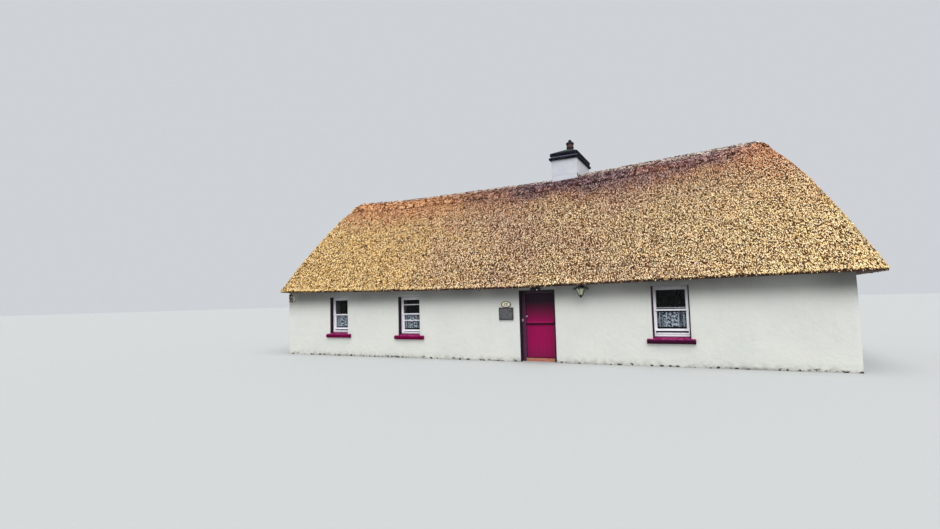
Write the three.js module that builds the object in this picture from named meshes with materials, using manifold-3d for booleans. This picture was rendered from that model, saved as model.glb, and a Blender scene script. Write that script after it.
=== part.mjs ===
// A one-storey thatched cottage with whitewashed stone walls, a half door and three sash windows in front.
// Millimetres. X runs along the front wall from its left corner, Y runs into the house, Z is up.
// The whole house is then moved so that its origin is on the ground, under the middle of the roof's outline.

import * as THREE from 'three';
import { mergeVertices } from 'three/addons/utils/BufferGeometryUtils.js';
import Module from 'manifold-3d';

const wasm = await Module();
wasm.setup();

// Fits
const FIT = 0.3;
const RUN_HINGE = 6;
const RUN_LATCH = 9;

// Walls and floor
const HOUSE = { length: 16600, depth: 6000, head: 2300, thick: 550, floor: 100 };

// Openings in the front wall
const DOORWAY = { left: 8860, right: 9900, head: 2000 };

// Each window: its opening, the board at its foot, its meeting rail, how far the lower sash is raised,
// its glazing bars, the ends of its sill and the heights of its lace
const FRONT_WINDOWS = [
  {
    name: 'window_1', left: 1920, right: 2680, head: 1970, seat: 778, board: 56,
    meeting: 1375, raised: 42, bars: {}, sillEnds: [1800, 2835], lace: [950, 1342],
  },
  {
    name: 'window_2', left: 4745, right: 5537, head: 1925, seat: 750, board: 48,
    meeting: 1372, raised: 22, bars: { upper: 1667, lower: 1166 }, sillEnds: [4620, 5700], lace: [902, 1337],
  },
  {
    name: 'window_3', left: 12398, right: 13278, head: 2005, seat: 732, board: 90,
    meeting: 1395, raised: 46, bars: {}, sillEnds: [12260, 13380], lace: [950, 1342],
  },
];
const BACK_WINDOWS = [
  {
    name: 'back_window_1', left: 3900, right: 4700, head: 1970, seat: 778, board: 56,
    meeting: 1375, raised: 0, bars: {}, sillEnds: [3780, 4820],
  },
  {
    name: 'back_window_2', left: 11900, right: 12700, head: 1970, seat: 778, board: 56,
    meeting: 1375, raised: 0, bars: {}, sillEnds: [11780, 12820],
  },
];

// Roof: outline of the eaves, ends of the ridge, and the thatch that lies between them
const EAVES = {
  left: -200, right: 17190, front: -350, back: 6350, lip: 60, leftCorner: 210, rightCorner: 480,
};
const EAVE_LOW = { x: 8900, z: 2062, reach: 9000 };
const EAVE_RISE = { left: 130, leftPower: 1.5, right: 115, rightPower: 0.8 };
const RIDGE = { left: 1100, right: 15050, y: 3000, low: 5730, leftRise: 90, rightRise: 350 };
const COAT = { wallInset: 60, ridgeDrop: 560, endInset: 420, innerCorner: 120 };
const BULGE = { slope: 1.18, left: 1.29, right: 1.41, inner: 1.12 };

// Swells of the thatch: three crossing waves over the plan, each with its height, its lengths along X and Y
// and its start, which fade out at the ridge and grow small at the trimmed eave
const SWELLS = [
  { high: 9, x: 1950, y: 3100, start: 0 },
  { high: 8, x: 2700, y: -1700, start: 1 },
  { high: 5, x: 1500, y: 1500, start: 2 },
];
const SWELL_FADE = { ridge: 0.25, eave: 0.7, eavePower: 8 };
const RIDGE_BAND = { rings: 2, thick: 45 };
const GRID = { rings: 12, innerRings: 6, side: 44, end: 9, corner: 5 };

// Chimney in line with the door
const STACK = { left: 9120, right: 9990, front: 2800, back: 4550, top: 6390 };
const CAP = { out: 60, lower: 110, upper: 100 };
const MORTAR = { high: 280, halfX: 150, halfY: 270 };
const POT = { radius: 122, bore: 88, top: 7187, rim: 12, rimHigh: 60 };
const COWL = { radius: 82, low: 7235, tip: 7310, leg: 9 };

// Window joinery
const REVEAL = 140;
const FRAME = { face: 55, deep: 110, sashY: 14 };
const SASH = { face: 45, deep: 38, rail: 55, meeting: 42, bite: 4, bar: 34 };
const GLASS = { thick: 4, lap: 10 };
const SILL = { out: 70, fall: 68, high: 104, slope: 22 };
const LACE = 12;

// Half door: frame, threshold and two leaves that open inwards on pins at the right jamb
const DOOR_FRAME = { front: 240, back: 315, jamb: 105, head: 90 };
const LEAF = { front: 270, low: 109, split: 1022, gap: 8, top: 1902 };
const LEDGE = { low: 1040, high: 1090, out: 52, short: 14 };
const THRESHOLD = { front: 205, top: 89 };
const HINGE = { behind: 15, radius: 11, pin: 5.5, bore: 5.95, high: 30, plate: 6, strap: 200, arm: 60 };
const LOWER_PINS = [300, 850];
const UPPER_PINS = [1200, 1750];
const KNOB = { x: 8998, z: 1260, radius: 20, out: 46, stem: 8, rose: 24 };
const LATCH = { x: 8876, z: 1155, halfX: 14, halfZ: 34, out: 20 };

// Fittings on the front wall
const PLAQUE = { left: 8250, right: 8680, low: 1170, high: 1520, thick: 24, rim: 18, sunk: 8 };
const NUMBER = { x: 8465, z: 1612, halfX: 145, halfZ: 88, thick: 14 };
const LANTERN = { x: 10680, out: 210, top: 2080, brim: 2000, canopy: 188, head: 128, foot: 58, low: 1780 };
const LANTERN_BASE = { high: 46, radius: 62, bar: 6 };
const WALL_PLATE = { halfX: 34, low: 1940, high: 2076, thick: 12 };
const DOOR_LAMP = { left: 9235, right: 9505, low: 1982, high: 2060, out: 78 };

function paint(color, roughness, metalness = 0) {
  return new THREE.MeshStandardMaterial({ color, roughness, metalness });
}

const finish = {
  limewash: paint(0xdcded7, 0.9),
  floor: paint(0x8f8a80, 0.9),
  thatch: paint(0xc79b62, 1),
  ridge: paint(0x8c7d7a, 1),
  cap: paint(0x2b2d30, 0.8),
  clay: paint(0x4a3530, 0.8),
  magenta: paint(0x91114b, 0.45),
  sill: paint(0x960a5a, 0.5),
  white: paint(0xe6d7e6, 0.5),
  glass: paint(0x15181a, 0.1),
  lace: paint(0xd9dde2, 0.9),
  board: paint(0xbe8264, 0.7),
  slate: paint(0x5f5f5f, 0.6),
  cream: paint(0xd8cfae, 0.4),
  iron: paint(0x1d1d1f, 0.5, 0.6),
  brass: paint(0xd9c8b0, 0.3, 0.8),
  milk: paint(0xcfd6da, 0.2),
};

const root = new THREE.Group();
const house = new THREE.Group();
house.position.set(-(EAVES.left + EAVES.right) / 2, -(EAVES.front + EAVES.back) / 2, 0);
root.add(house);

function place(name, geometry, material) {
  const mesh = new THREE.Mesh(geometry, material);
  mesh.name = name;
  house.add(mesh);
}

// A box from its low and high corners
function box(x0, x1, y0, y1, z0, z1) {
  return new THREE.BoxGeometry(x1 - x0, y1 - y0, z1 - z0)
    .translate((x0 + x1) / 2, (y0 + y1) / 2, (z0 + z1) / 2);
}

// A rectangle as a path, for an outline or a hole
function rectangle(Path, a0, a1, b0, b1) {
  const path = new Path();
  path.moveTo(a0, b0);
  path.lineTo(a1, b0);
  path.lineTo(a1, b1);
  path.lineTo(a0, b1);
  return path;
}

// A drawing of the front (x, z), given thickness from y0 to y1
function upright(shape, y0, y1, curveSegments = 24) {
  const sheet = new THREE.ExtrudeGeometry(shape, { depth: y1 - y0, bevelEnabled: false, curveSegments });
  return sheet.rotateX(Math.PI / 2).translate(0, y1, 0);
}

// A section (y, z) carried along X from x0 to x1
function alongX(points, x0, x1) {
  const shape = new THREE.Shape(points.map(([y, z]) => new THREE.Vector2(y, z)));
  const bar = new THREE.ExtrudeGeometry(shape, { depth: x1 - x0, bevelEnabled: false });
  const turn = new THREE.Matrix4().makeBasis(
    new THREE.Vector3(0, 1, 0), new THREE.Vector3(0, 0, 1), new THREE.Vector3(1, 0, 0));
  return bar.applyMatrix4(turn).translate(x0, 0, 0);
}

// A profile (radius, height) turned about a vertical axis
function turned(points, x, y, segments = 24) {
  const profile = points.map(([radius, z]) => new THREE.Vector2(radius, z));
  return new THREE.LatheGeometry(profile, segments).rotateX(Math.PI / 2).translate(x, y, 0);
}

// A profile (radius, distance out of the wall) turned about an axis along -Y
function turnedOut(points, x, y, z, segments = 16) {
  const profile = points.map(([radius, out]) => new THREE.Vector2(radius, out));
  return new THREE.LatheGeometry(profile, segments).rotateX(Math.PI).translate(x, y, z);
}

function solid(geometry) {
  const bare = geometry.clone();
  bare.deleteAttribute('normal');
  bare.deleteAttribute('uv');
  const merged = mergeVertices(bare, 1e-3);
  const vertProperties = new Float32Array(merged.attributes.position.array);
  const index = Array.from(merged.index.array);
  const kept = [];
  for (let i = 0; i < index.length; i += 3) {
    const [a, b, c] = index.slice(i, i + 3);
    if (a !== b && b !== c && c !== a) kept.push(a, b, c);
  }
  return new wasm.Manifold(new wasm.Mesh({ numProp: 3, vertProperties, triVerts: new Uint32Array(kept) }));
}

function surface(body) {
  const mesh = body.getMesh();
  const geometry = new THREE.BufferGeometry();
  geometry.setAttribute('position', new THREE.BufferAttribute(new Float32Array(mesh.vertProperties), 3));
  geometry.setIndex(new THREE.BufferAttribute(new Uint32Array(mesh.triVerts), 1));
  geometry.computeVertexNormals();
  return geometry;
}

function joined(...geometries) {
  return surface(geometries.map(solid).reduce((whole, piece) => whole.add(piece)));
}

// Walls

// A wall that faces front or back, from x0 to x1, with its window holes cut right through
function longWall(name, x0, x1, z0, y0, windows) {
  const y1 = y0 + HOUSE.thick;
  let wall = solid(box(x0, x1, y0, y1, z0, HOUSE.head));
  for (const { left, right, seat, head } of windows) {
    wall = wall.subtract(solid(box(left, right, y0 - 1, y1 + 1, seat - SILL.fall, head)));
  }
  place(name, surface(wall), finish.limewash);
}

function walls() {
  const [window1, window2, window3] = FRONT_WINDOWS;
  longWall('front_wall_left', 0, DOORWAY.left, 0, 0, [window1, window2]);
  longWall('front_wall_over_door', DOORWAY.left + FIT, DOORWAY.right - FIT, DOORWAY.head, 0, []);
  longWall('front_wall_right', DOORWAY.right, HOUSE.length, 0, 0, [window3]);
  longWall('back_wall', 0, HOUSE.length, 0, HOUSE.depth - HOUSE.thick, BACK_WINDOWS);
  const inFront = HOUSE.thick + FIT;
  const atBack = HOUSE.depth - HOUSE.thick - FIT;
  const rightInside = HOUSE.length - HOUSE.thick;
  place('left_end_wall', box(0, HOUSE.thick, inFront, atBack, 0, HOUSE.head), finish.limewash);
  place('right_end_wall', box(rightInside, HOUSE.length, inFront, atBack, 0, HOUSE.head), finish.limewash);
  const slab = solid(box(HOUSE.thick + FIT, rightInside - FIT, inFront, atBack, 0, HOUSE.floor));
  place('floor', surface(slab.subtract(solid(stackBlock(FIT)))), finish.floor);
}

// Chimney

function stackBlock(grow) {
  const { left, right, front, back, top } = STACK;
  return box(left - grow, right + grow, front - grow, back + grow, 0, top);
}

// A box whose top is drawn in to the small level bed on which the pot stands
function tapered(block, x, y) {
  const { position } = block.attributes;
  block.computeBoundingBox();
  const middle = (block.boundingBox.min.z + block.boundingBox.max.z) / 2;
  for (let i = 0; i < position.count; i += 1) {
    if (position.getZ(i) < middle) continue;
    position.setX(i, x + Math.sign(position.getX(i) - x) * MORTAR.halfX);
    position.setY(i, y + Math.sign(position.getY(i) - y) * MORTAR.halfY);
  }
  return block;
}

function chimney() {
  const { left, right, front, back, top } = STACK;
  const x = (left + right) / 2;
  const y = (front + back) / 2;
  place('chimney_stack', stackBlock(0), finish.limewash);

  const capLow = top + FIT;
  const step = capLow + CAP.lower;
  const capTop = step + CAP.upper;
  const out = CAP.out;
  const lower = box(left - out, right + out, front - out, back + out, capLow, step);
  const upper = box(left, right, front, back, step - 1, capTop);
  const mortar = tapered(box(left, right, front, back, capTop - 1, capTop + MORTAR.high), x, y);
  place('chimney_cap', joined(lower, upper, mortar), finish.cap);

  const potLow = capTop + MORTAR.high + FIT;
  const shoulder = POT.top - POT.rimHigh;
  place('chimney_pot', turned([
    [POT.bore, potLow],
    [POT.radius, potLow],
    [POT.radius, shoulder],
    [POT.radius + POT.rim, shoulder],
    [POT.radius + POT.rim, POT.top],
    [POT.bore, POT.top],
    [POT.bore, potLow],
  ], x, y), finish.clay);

  const hood = solid(turned([[0, COWL.low], [COWL.radius, COWL.low], [0, COWL.tip]], x, y, 16));
  const seat = POT.top + FIT;
  const reach = (POT.bore + POT.radius) / 2;
  const legs = [0, 1, 2].map((turn) => {
    const angle = turn * Math.PI * 2 / 3;
    const post = box(reach - COWL.leg, reach + COWL.leg, -COWL.leg, COWL.leg, seat, COWL.low + COWL.leg);
    const arm = box(0, reach + COWL.leg, -COWL.leg, COWL.leg, COWL.low - COWL.leg, COWL.low + COWL.leg);
    return solid(joined(post, arm).rotateZ(angle).translate(x, y, 0));
  });
  place('chimney_cowl', surface(legs.reduce((whole, leg) => whole.add(leg), hood)), finish.iron);
}

// Thatch

const mix = (a, b, t) => a + (b - a) * t;

// The ridge is low over the door, a little higher at the left end and highest at the right end
function ridgeHeight(x) {
  const leftFade = Math.max(0, 1 - (x - RIDGE.left) / 2600);
  const rightRun = Math.max(0, (x - 8900) / (RIDGE.right - 8900));
  return RIDGE.low + RIDGE.leftRise * leftFade ** 1.5 + RIDGE.rightRise * rightRun ** 0.9;
}

// The eave hangs lowest near the door
function eaveHeight(x) {
  const run = Math.abs(x - EAVE_LOW.x) / EAVE_LOW.reach;
  const { left, leftPower, right, rightPower } = EAVE_RISE;
  return EAVE_LOW.z + (x < EAVE_LOW.x ? left * run ** leftPower : right * run ** rightPower);
}

// Stations round a rectangle with round corners. Each has a plan point, the ridge point above it,
// and how far it belongs to a hip (0 on a long slope, 1 on a hip).
function stations(rect, ridgeLeft, ridgeRight) {
  const { left, right, front, back, leftCorner, rightCorner } = rect;
  const a = left + leftCorner;
  const b = right - rightCorner;
  const list = [];
  const side = (fromX, fromY, toX, toY, count, ridgeFrom, ridgeTo) => {
    for (let i = 0; i < count; i += 1) {
      const t = i / count;
      const hip = ridgeFrom === ridgeTo ? 1 : Math.abs(2 * t - 1) ** 6;
      list.push({ x: mix(fromX, toX, t), y: mix(fromY, toY, t), ridge: mix(ridgeFrom, ridgeTo, t), hip });
    }
  };
  const arc = (cx, cy, radius, startAngle, ridge) => {
    for (let i = 0; i < GRID.corner; i += 1) {
      const angle = startAngle + (i / GRID.corner) * Math.PI / 2;
      list.push({ x: cx + radius * Math.cos(angle), y: cy + radius * Math.sin(angle), ridge, hip: 1 });
    }
  };
  side(a, front, b, front, GRID.side, ridgeLeft, ridgeRight);
  arc(b, front + rightCorner, rightCorner, -Math.PI / 2, ridgeRight);
  side(right, front + rightCorner, right, back - rightCorner, GRID.end, ridgeRight, ridgeRight);
  arc(b, back - rightCorner, rightCorner, 0, ridgeRight);
  side(b, back, a, back, GRID.side, ridgeRight, ridgeLeft);
  arc(a, back - leftCorner, leftCorner, Math.PI / 2, ridgeLeft);
  side(left, back - leftCorner, left, front + leftCorner, GRID.end, ridgeLeft, ridgeLeft);
  arc(a, front + leftCorner, leftCorner, Math.PI, ridgeLeft);
  return list;
}

// One ring of the roof: share 0 is the ridge line and 1 is the outline. The height falls from the
// ridge as the share to a power above 1, which rounds the ridge and makes the slope swell outwards.
function ring(list, share, lowOf, drop, power) {
  const middle = (RIDGE.left + RIDGE.right) / 2;
  return list.map((station) => {
    const high = ridgeHeight(station.ridge) - drop;
    const hipBulge = station.ridge > middle ? BULGE.right : BULGE.left;
    const bulge = power ?? mix(BULGE.slope, hipBulge, station.hip);
    const z = high - (high - lowOf(station.x)) * share ** bulge;
    return [mix(station.ridge, station.x, share), mix(RIDGE.y, station.y, share), z];
  });
}

// How far the thatch swells out of its even slope at a place
function swell(x, y, share) {
  const { ridge, eave, eavePower } = SWELL_FADE;
  const fade = Math.min(1, share / ridge) * (1 - eave * share ** eavePower);
  const height = (wave) => wave.high * Math.sin(2 * Math.PI * (x / wave.x + y / wave.y) + wave.start);
  return fade * SWELLS.reduce((sum, wave) => sum + height(wave), 0);
}

// One ring of the outer side of the thatch, with its swells
function outerRing(list, share) {
  const lipTop = (x) => eaveHeight(x) + EAVES.lip;
  return ring(list, share, lipTop, 0).map(([x, y, z]) => [x, y, z + swell(x, y, share)]);
}

// A closed skin over the rings out to the eave and the rings back under it. Both sheets cut their
// four-sided cells along the same diagonal, so a sheet that is only lifted never touches the other.
function skin(out, back) {
  const count = out[0].length;
  const rings = [...out, ...back];
  const index = [];
  for (let j = 0; j + 1 < rings.length; j += 1) {
    for (let i = 0; i < count; i += 1) {
      const next = (i + 1) % count;
      const [a, b] = [j * count + i, j * count + next];
      const [c, d] = [a + count, b + count];
      if (j < out.length) index.push(a, c, d, a, d, b);
      else index.push(a, c, b, b, c, d);
    }
  }
  const geometry = new THREE.BufferGeometry();
  geometry.setAttribute('position', new THREE.Float32BufferAttribute(rings.flat(2), 3));
  geometry.setIndex(index);
  return geometry;
}

function evenShares(count, last = 1) {
  return Array.from({ length: count + 1 }, (_, i) => last * i / count);
}

// The whole coat of thatch as one shell: over the top, round the lip, in along the soffit, up inside
function coat() {
  const outer = stations(EAVES, RIDGE.left, RIDGE.right);
  const inset = COAT.wallInset;
  const inside = {
    left: inset,
    right: HOUSE.length - inset,
    front: inset,
    back: HOUSE.depth - inset,
    leftCorner: COAT.innerCorner,
    rightCorner: COAT.innerCorner,
  };
  const inner = stations(inside, RIDGE.left + COAT.endInset, RIDGE.right - COAT.endInset);
  const over = evenShares(GRID.rings).map((share) => outerRing(outer, share));
  const lip = ring(outer, 1, eaveHeight, 0);
  const under = evenShares(GRID.innerRings).reverse()
    .map((share) => ring(inner, share, eaveHeight, COAT.ridgeDrop, BULGE.inner));
  return solid(skin([...over, lip], under));
}

// The ridge band lies on the coat like a saddle, over the ridge and the tops of the hips
function ridgeBand() {
  const outer = stations(EAVES, RIDGE.left, RIDGE.right);
  const shares = evenShares(RIDGE_BAND.rings, RIDGE_BAND.rings / GRID.rings);
  const lifted = (share, up) => outerRing(outer, share).map(([x, y, z]) => [x, y, z + up]);
  const over = shares.map((share) => lifted(share, RIDGE_BAND.thick));
  const under = [...shares].reverse().map((share) => lifted(share, 2 * FIT));
  return solid(skin(over, under));
}

// The plan of a hip: a wedge that opens from the end of the ridge towards the middles of two round corners
function hipWedge(ridgeX, outX, corner, shift) {
  const towards = Math.sign(outX - ridgeX);
  const half = (EAVES.back - EAVES.front) / 2;
  const cut = corner * (1 - Math.SQRT1_2);
  const slope = (outX - towards * cut - ridgeX) / (half - cut);
  const reach = half + 500;
  const apex = ridgeX - towards * shift;
  const shape = new THREE.Shape();
  shape.moveTo(apex, RIDGE.y);
  shape.lineTo(apex + slope * reach, RIDGE.y - reach);
  shape.lineTo(outX + towards * 1500, RIDGE.y - reach);
  shape.lineTo(outX + towards * 1500, RIDGE.y + reach);
  shape.lineTo(apex + slope * reach, RIDGE.y + reach);
  return solid(new THREE.ExtrudeGeometry(shape, { depth: 8000, bevelEnabled: false }));
}

function thatch() {
  const wallBlock = box(-FIT, HOUSE.length + FIT, -FIT, HOUSE.depth + FIT, 0, HOUSE.head + FIT);
  const clear = solid(wallBlock).add(solid(stackBlock(FIT)));
  const whole = coat().subtract(clear);
  const parting = FIT * 2;
  const leftHip = (shift) => hipWedge(RIDGE.left, EAVES.left, EAVES.leftCorner, shift);
  const rightHip = (shift) => hipWedge(RIDGE.right, EAVES.right, EAVES.rightCorner, shift);
  place('thatch_left_hip', surface(whole.intersect(leftHip(0))), finish.thatch);
  place('thatch_right_hip', surface(whole.intersect(rightHip(0))), finish.thatch);
  const slopes = whole.subtract(leftHip(parting)).subtract(rightHip(parting));
  const frontHalf = solid(box(-1000, 18000, -1000, RIDGE.y - FIT / 2, 0, 8000));
  const backHalf = solid(box(-1000, 18000, RIDGE.y + FIT / 2, 7000, 0, 8000));
  place('thatch_front', surface(slopes.intersect(frontHalf)), finish.thatch);
  place('thatch_back', surface(slopes.intersect(backHalf)), finish.thatch);
  place('thatch_ridge', surface(ridgeBand().subtract(clear)), finish.ridge);
}

// Windows. The upper sash is in front, the lower one behind it and raised a little.

// A sash: a rail at top and bottom, two stiles, and glazing bars at the given heights
function sash(x0, x1, z0, z1, y0, lowRail, highRail, bars) {
  const face = rectangle(THREE.Shape, x0, x1, z0, z1);
  const half = SASH.bar / 2;
  const levels = [z0 + lowRail, ...bars.flatMap((z) => [z - half, z + half]), z1 - highRail];
  for (let i = 0; i < levels.length; i += 2) {
    face.holes.push(rectangle(THREE.Path, x0 + SASH.face, x1 - SASH.face, levels[i], levels[i + 1]));
  }
  return upright(face, y0, y0 + SASH.deep);
}

// One window as if in the front wall, with Y from the wall face: joinery, two sheets of glass and the sill
function windowPieces(opening) {
  const { seat, board, meeting, raised, bars, sillEnds } = opening;
  const x0 = opening.left + FIT;
  const x1 = opening.right - FIT;
  const z0 = seat + FIT;
  const z1 = opening.head - FIT;
  const frameBack = REVEAL + FRAME.deep;
  const casing = rectangle(THREE.Shape, x0, x1, z0, z1);
  casing.holes.push(rectangle(THREE.Path, x0 + FRAME.face, x1 - FRAME.face, z0 + board, z1 - FRAME.face));

  const { bite } = SASH;
  const left = x0 + FRAME.face - bite;
  const right = x1 - FRAME.face + bite;
  const bottom = z0 + board + (raised || -bite);
  const top = z1 - FRAME.face + bite;
  const meetingLow = meeting - SASH.meeting / 2;
  const meetingTop = meeting + SASH.meeting / 2;
  const upperY = REVEAL + FRAME.sashY;
  const lowerY = upperY + SASH.deep - bite;
  const barsAt = (height) => (height ? [height] : []);
  const upper = sash(left, right, meetingLow, top, upperY, SASH.meeting, SASH.rail, barsAt(bars.upper));
  const lower = sash(left, right, bottom, meetingTop, lowerY, SASH.rail, SASH.meeting, barsAt(bars.lower));

  const paneLeft = x0 + FRAME.face + FIT;
  const paneRight = x1 - FRAME.face - FIT;
  const pane = (y, low, high) => box(paneLeft, paneRight, y + FIT, y + FIT + GLASS.thick, low, high);
  const upperBack = upperY + SASH.deep;
  const lowerBack = lowerY + SASH.deep;

  const front = seat - SILL.fall;
  const nose = [
    [-SILL.out, front - SILL.high],
    [-FIT, front - SILL.high],
    [-FIT, front + SILL.slope],
    [-SILL.out, front],
  ];
  const bed = [
    [-1, front + FIT],
    [frameBack, front + FIT],
    [frameBack, seat],
    [REVEAL, seat],
    [-1, front + SILL.slope],
  ];
  return {
    joinery: joined(upright(casing, REVEAL, frameBack), upper, lower),
    upperGlass: pane(upperBack, meetingTop + FIT, z1 - FRAME.face - FIT),
    lowerGlass: pane(lowerBack, bottom + SASH.rail - GLASS.lap, meetingTop),
    sill: joined(alongX(nose, ...sillEnds), alongX(bed, x0, x1)),
    inside: { left: paneLeft, right: paneRight, y: lowerBack + GLASS.thick + 2 * FIT },
  };
}

function frontWindow(opening) {
  const { name, lace } = opening;
  const pieces = windowPieces(opening);
  place(`${name}_joinery`, pieces.joinery, finish.white);
  place(`${name}_upper_glass`, pieces.upperGlass, finish.glass);
  place(`${name}_lower_glass`, pieces.lowerGlass, finish.glass);
  place(`${name}_sill`, pieces.sill, finish.sill);
  const { left, right, y } = pieces.inside;
  place(`${name}_curtain`, box(left, right, y, y + LACE, ...lace), finish.lace);
}

// The back windows are the same windows, shut, turned to face the other way
function backWindow(opening) {
  const { name } = opening;
  const middle = (opening.left + opening.right) / 2;
  const pieces = windowPieces(opening);
  const turn = (geometry) => geometry
    .translate(-middle, 0, 0)
    .rotateZ(Math.PI)
    .translate(middle, HOUSE.depth, 0);
  place(`${name}_joinery`, turn(pieces.joinery), finish.white);
  place(`${name}_upper_glass`, turn(pieces.upperGlass), finish.glass);
  place(`${name}_lower_glass`, turn(pieces.lowerGlass), finish.glass);
  place(`${name}_sill`, turn(pieces.sill), finish.sill);
}

// Half door

const PIN_Y = DOOR_FRAME.back + HINGE.behind;
const LEAF_LEFT = DOORWAY.left + DOOR_FRAME.jamb + RUN_LATCH;
const LEAF_RIGHT = DOORWAY.right - DOOR_FRAME.jamb - RUN_HINGE;
const PIN_X = LEAF_RIGHT + RUN_HINGE / 2;

// The fixed half of a hinge: a plate on the back of the jamb, a knuckle and a pin that stands up from it
function pintle(z) {
  const low = z - HINGE.high;
  const { back } = DOOR_FRAME;
  const plate = box(PIN_X, PIN_X + HINGE.arm, back - 1, back + HINGE.plate, low, z);
  const web = box(PIN_X - 2, PIN_X + 8, back + 1, PIN_Y, low, z);
  const knuckle = new THREE.CylinderGeometry(HINGE.radius, HINGE.radius, HINGE.high, 16)
    .rotateX(Math.PI / 2).translate(PIN_X, PIN_Y, z - HINGE.high / 2);
  const pin = new THREE.CylinderGeometry(HINGE.pin, HINGE.pin, 2 * HINGE.high, 16)
    .rotateX(Math.PI / 2).translate(PIN_X, PIN_Y, z);
  return [plate, web, knuckle, pin];
}

// The moving half: a strap across the back of the leaf that ends in an eye over the pin
function strap(z) {
  const low = z + 2 * FIT;
  const high = low + HINGE.high;
  const back = DOOR_FRAME.back;
  const bar = box(PIN_X - HINGE.strap, PIN_X - HINGE.bore - 1, back - 1, back + HINGE.plate, low, high);
  const eye = turned([
    [HINGE.bore, low],
    [HINGE.radius, low],
    [HINGE.radius, high],
    [HINGE.bore, high],
    [HINGE.bore, low],
  ], PIN_X, PIN_Y, 16);
  const web = box(PIN_X - HINGE.radius, PIN_X - HINGE.bore - 1, back, PIN_Y, low, high);
  return [bar, web, eye];
}

function leaf(low, high, pins, extras) {
  const board = box(LEAF_LEFT, LEAF_RIGHT, LEAF.front, DOOR_FRAME.back, low, high);
  return joined(board, ...extras, ...pins.flatMap(strap));
}

function halfDoor() {
  const left = DOORWAY.left + FIT;
  const right = DOORWAY.right - FIT;
  const top = DOORWAY.head - FIT;
  const { jamb, front, back } = DOOR_FRAME;
  const inLeft = DOORWAY.left + jamb;
  const inRight = DOORWAY.right - jamb;
  const portal = new THREE.Shape();
  portal.moveTo(left, 0);
  portal.lineTo(inLeft, 0);
  portal.lineTo(inLeft, DOORWAY.head - DOOR_FRAME.head);
  portal.lineTo(inRight, DOORWAY.head - DOOR_FRAME.head);
  portal.lineTo(inRight, 0);
  portal.lineTo(right, 0);
  portal.lineTo(right, top);
  portal.lineTo(left, top);
  const pintles = [...LOWER_PINS, ...UPPER_PINS].flatMap(pintle);
  place('door_frame', joined(upright(portal, front, back), ...pintles), finish.magenta);

  const step = box(inLeft + FIT, inRight - FIT, THRESHOLD.front, HOUSE.thick, 0, THRESHOLD.top);
  place('door_threshold', step, finish.board);

  const ledgeLeft = LEAF_LEFT + LEDGE.short;
  const ledgeRight = LEAF_RIGHT - LEDGE.short;
  const ledge = box(ledgeLeft, ledgeRight, LEAF.front - LEDGE.out, LEAF.front + 1, LEDGE.low, LEDGE.high);
  place('door_lower_leaf', leaf(LEAF.low, LEAF.split, LOWER_PINS, []), finish.magenta);
  place('door_upper_leaf', leaf(LEAF.split + LEAF.gap, LEAF.top, UPPER_PINS, [ledge]), finish.magenta);

  const { out, stem, rose, radius } = KNOB;
  place('door_knob', turnedOut([
    [0, FIT],
    [rose, FIT],
    [rose, 5],
    [stem, 7],
    [stem, 20],
    [radius, 28],
    [radius, 38],
    [radius * 0.7, out - 2],
    [0, out],
  ], KNOB.x, LEAF.front, KNOB.z), finish.brass);
  const keep = box(
    LATCH.x - LATCH.halfX, LATCH.x + LATCH.halfX,
    front - FIT - LATCH.out, front - FIT,
    LATCH.z - LATCH.halfZ, LATCH.z + LATCH.halfZ);
  place('door_latch', keep, finish.brass);
}

// Fittings on the front wall

// A round bar between two points
function bar(from, to, radius, sides = 6) {
  const a = new THREE.Vector3(...from);
  const b = new THREE.Vector3(...to);
  const along = b.clone().sub(a);
  const up = new THREE.Vector3(0, 1, 0);
  const turn = new THREE.Quaternion().setFromUnitVectors(up, along.clone().normalize());
  const middle = a.add(b).multiplyScalar(0.5);
  return new THREE.CylinderGeometry(radius, radius, along.length(), sides)
    .applyQuaternion(turn)
    .translate(middle.x, middle.y, middle.z);
}

function lantern() {
  const { x, out, top, brim, canopy, head, foot, low } = LANTERN;
  const y = -out;
  const baseTop = low + LANTERN_BASE.high;
  const sides = 6;
  const widthAt = (z) => mix(foot, head, (z - baseTop) / (brim - baseTop));
  const hat = turned([
    [0, brim],
    [canopy, brim - 10],
    [canopy, brim],
    [canopy * 0.72, brim + 22],
    [canopy * 0.3, top - 18],
    [0, top],
  ], x, y, sides);
  const { radius } = LANTERN_BASE;
  const base = turned([[0, low], [radius * 0.6, low], [radius, baseTop], [0, baseTop]], x, y, sides);
  const bars = Array.from({ length: sides }, (_, i) => {
    const angle = i * Math.PI * 2 / sides;
    const spot = (z) => [x + widthAt(z) * Math.sin(angle), y - widthAt(z) * Math.cos(angle), z];
    return bar(spot(baseTop - 8), spot(brim + 4), LANTERN_BASE.bar);
  });
  const arm = bar([x, -WALL_PLATE.thick, top - 28], [x, y, top - 14], 11, 8);
  const { halfX, thick } = WALL_PLATE;
  const plate = box(x - halfX, x + halfX, -FIT - thick, -FIT, WALL_PLATE.low, WALL_PLATE.high);
  place('lantern_cage', joined(hat, base, ...bars, arm, plate), finish.iron);
  const inset = LANTERN_BASE.bar + 4;
  const [paneLow, paneHigh] = [baseTop + FIT, brim - 10 - FIT];
  place('lantern_glass', turned([
    [0, paneLow],
    [widthAt(paneLow) - inset, paneLow],
    [widthAt(paneHigh) - inset, paneHigh],
    [0, paneHigh],
  ], x, y, sides), finish.milk);
}

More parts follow.
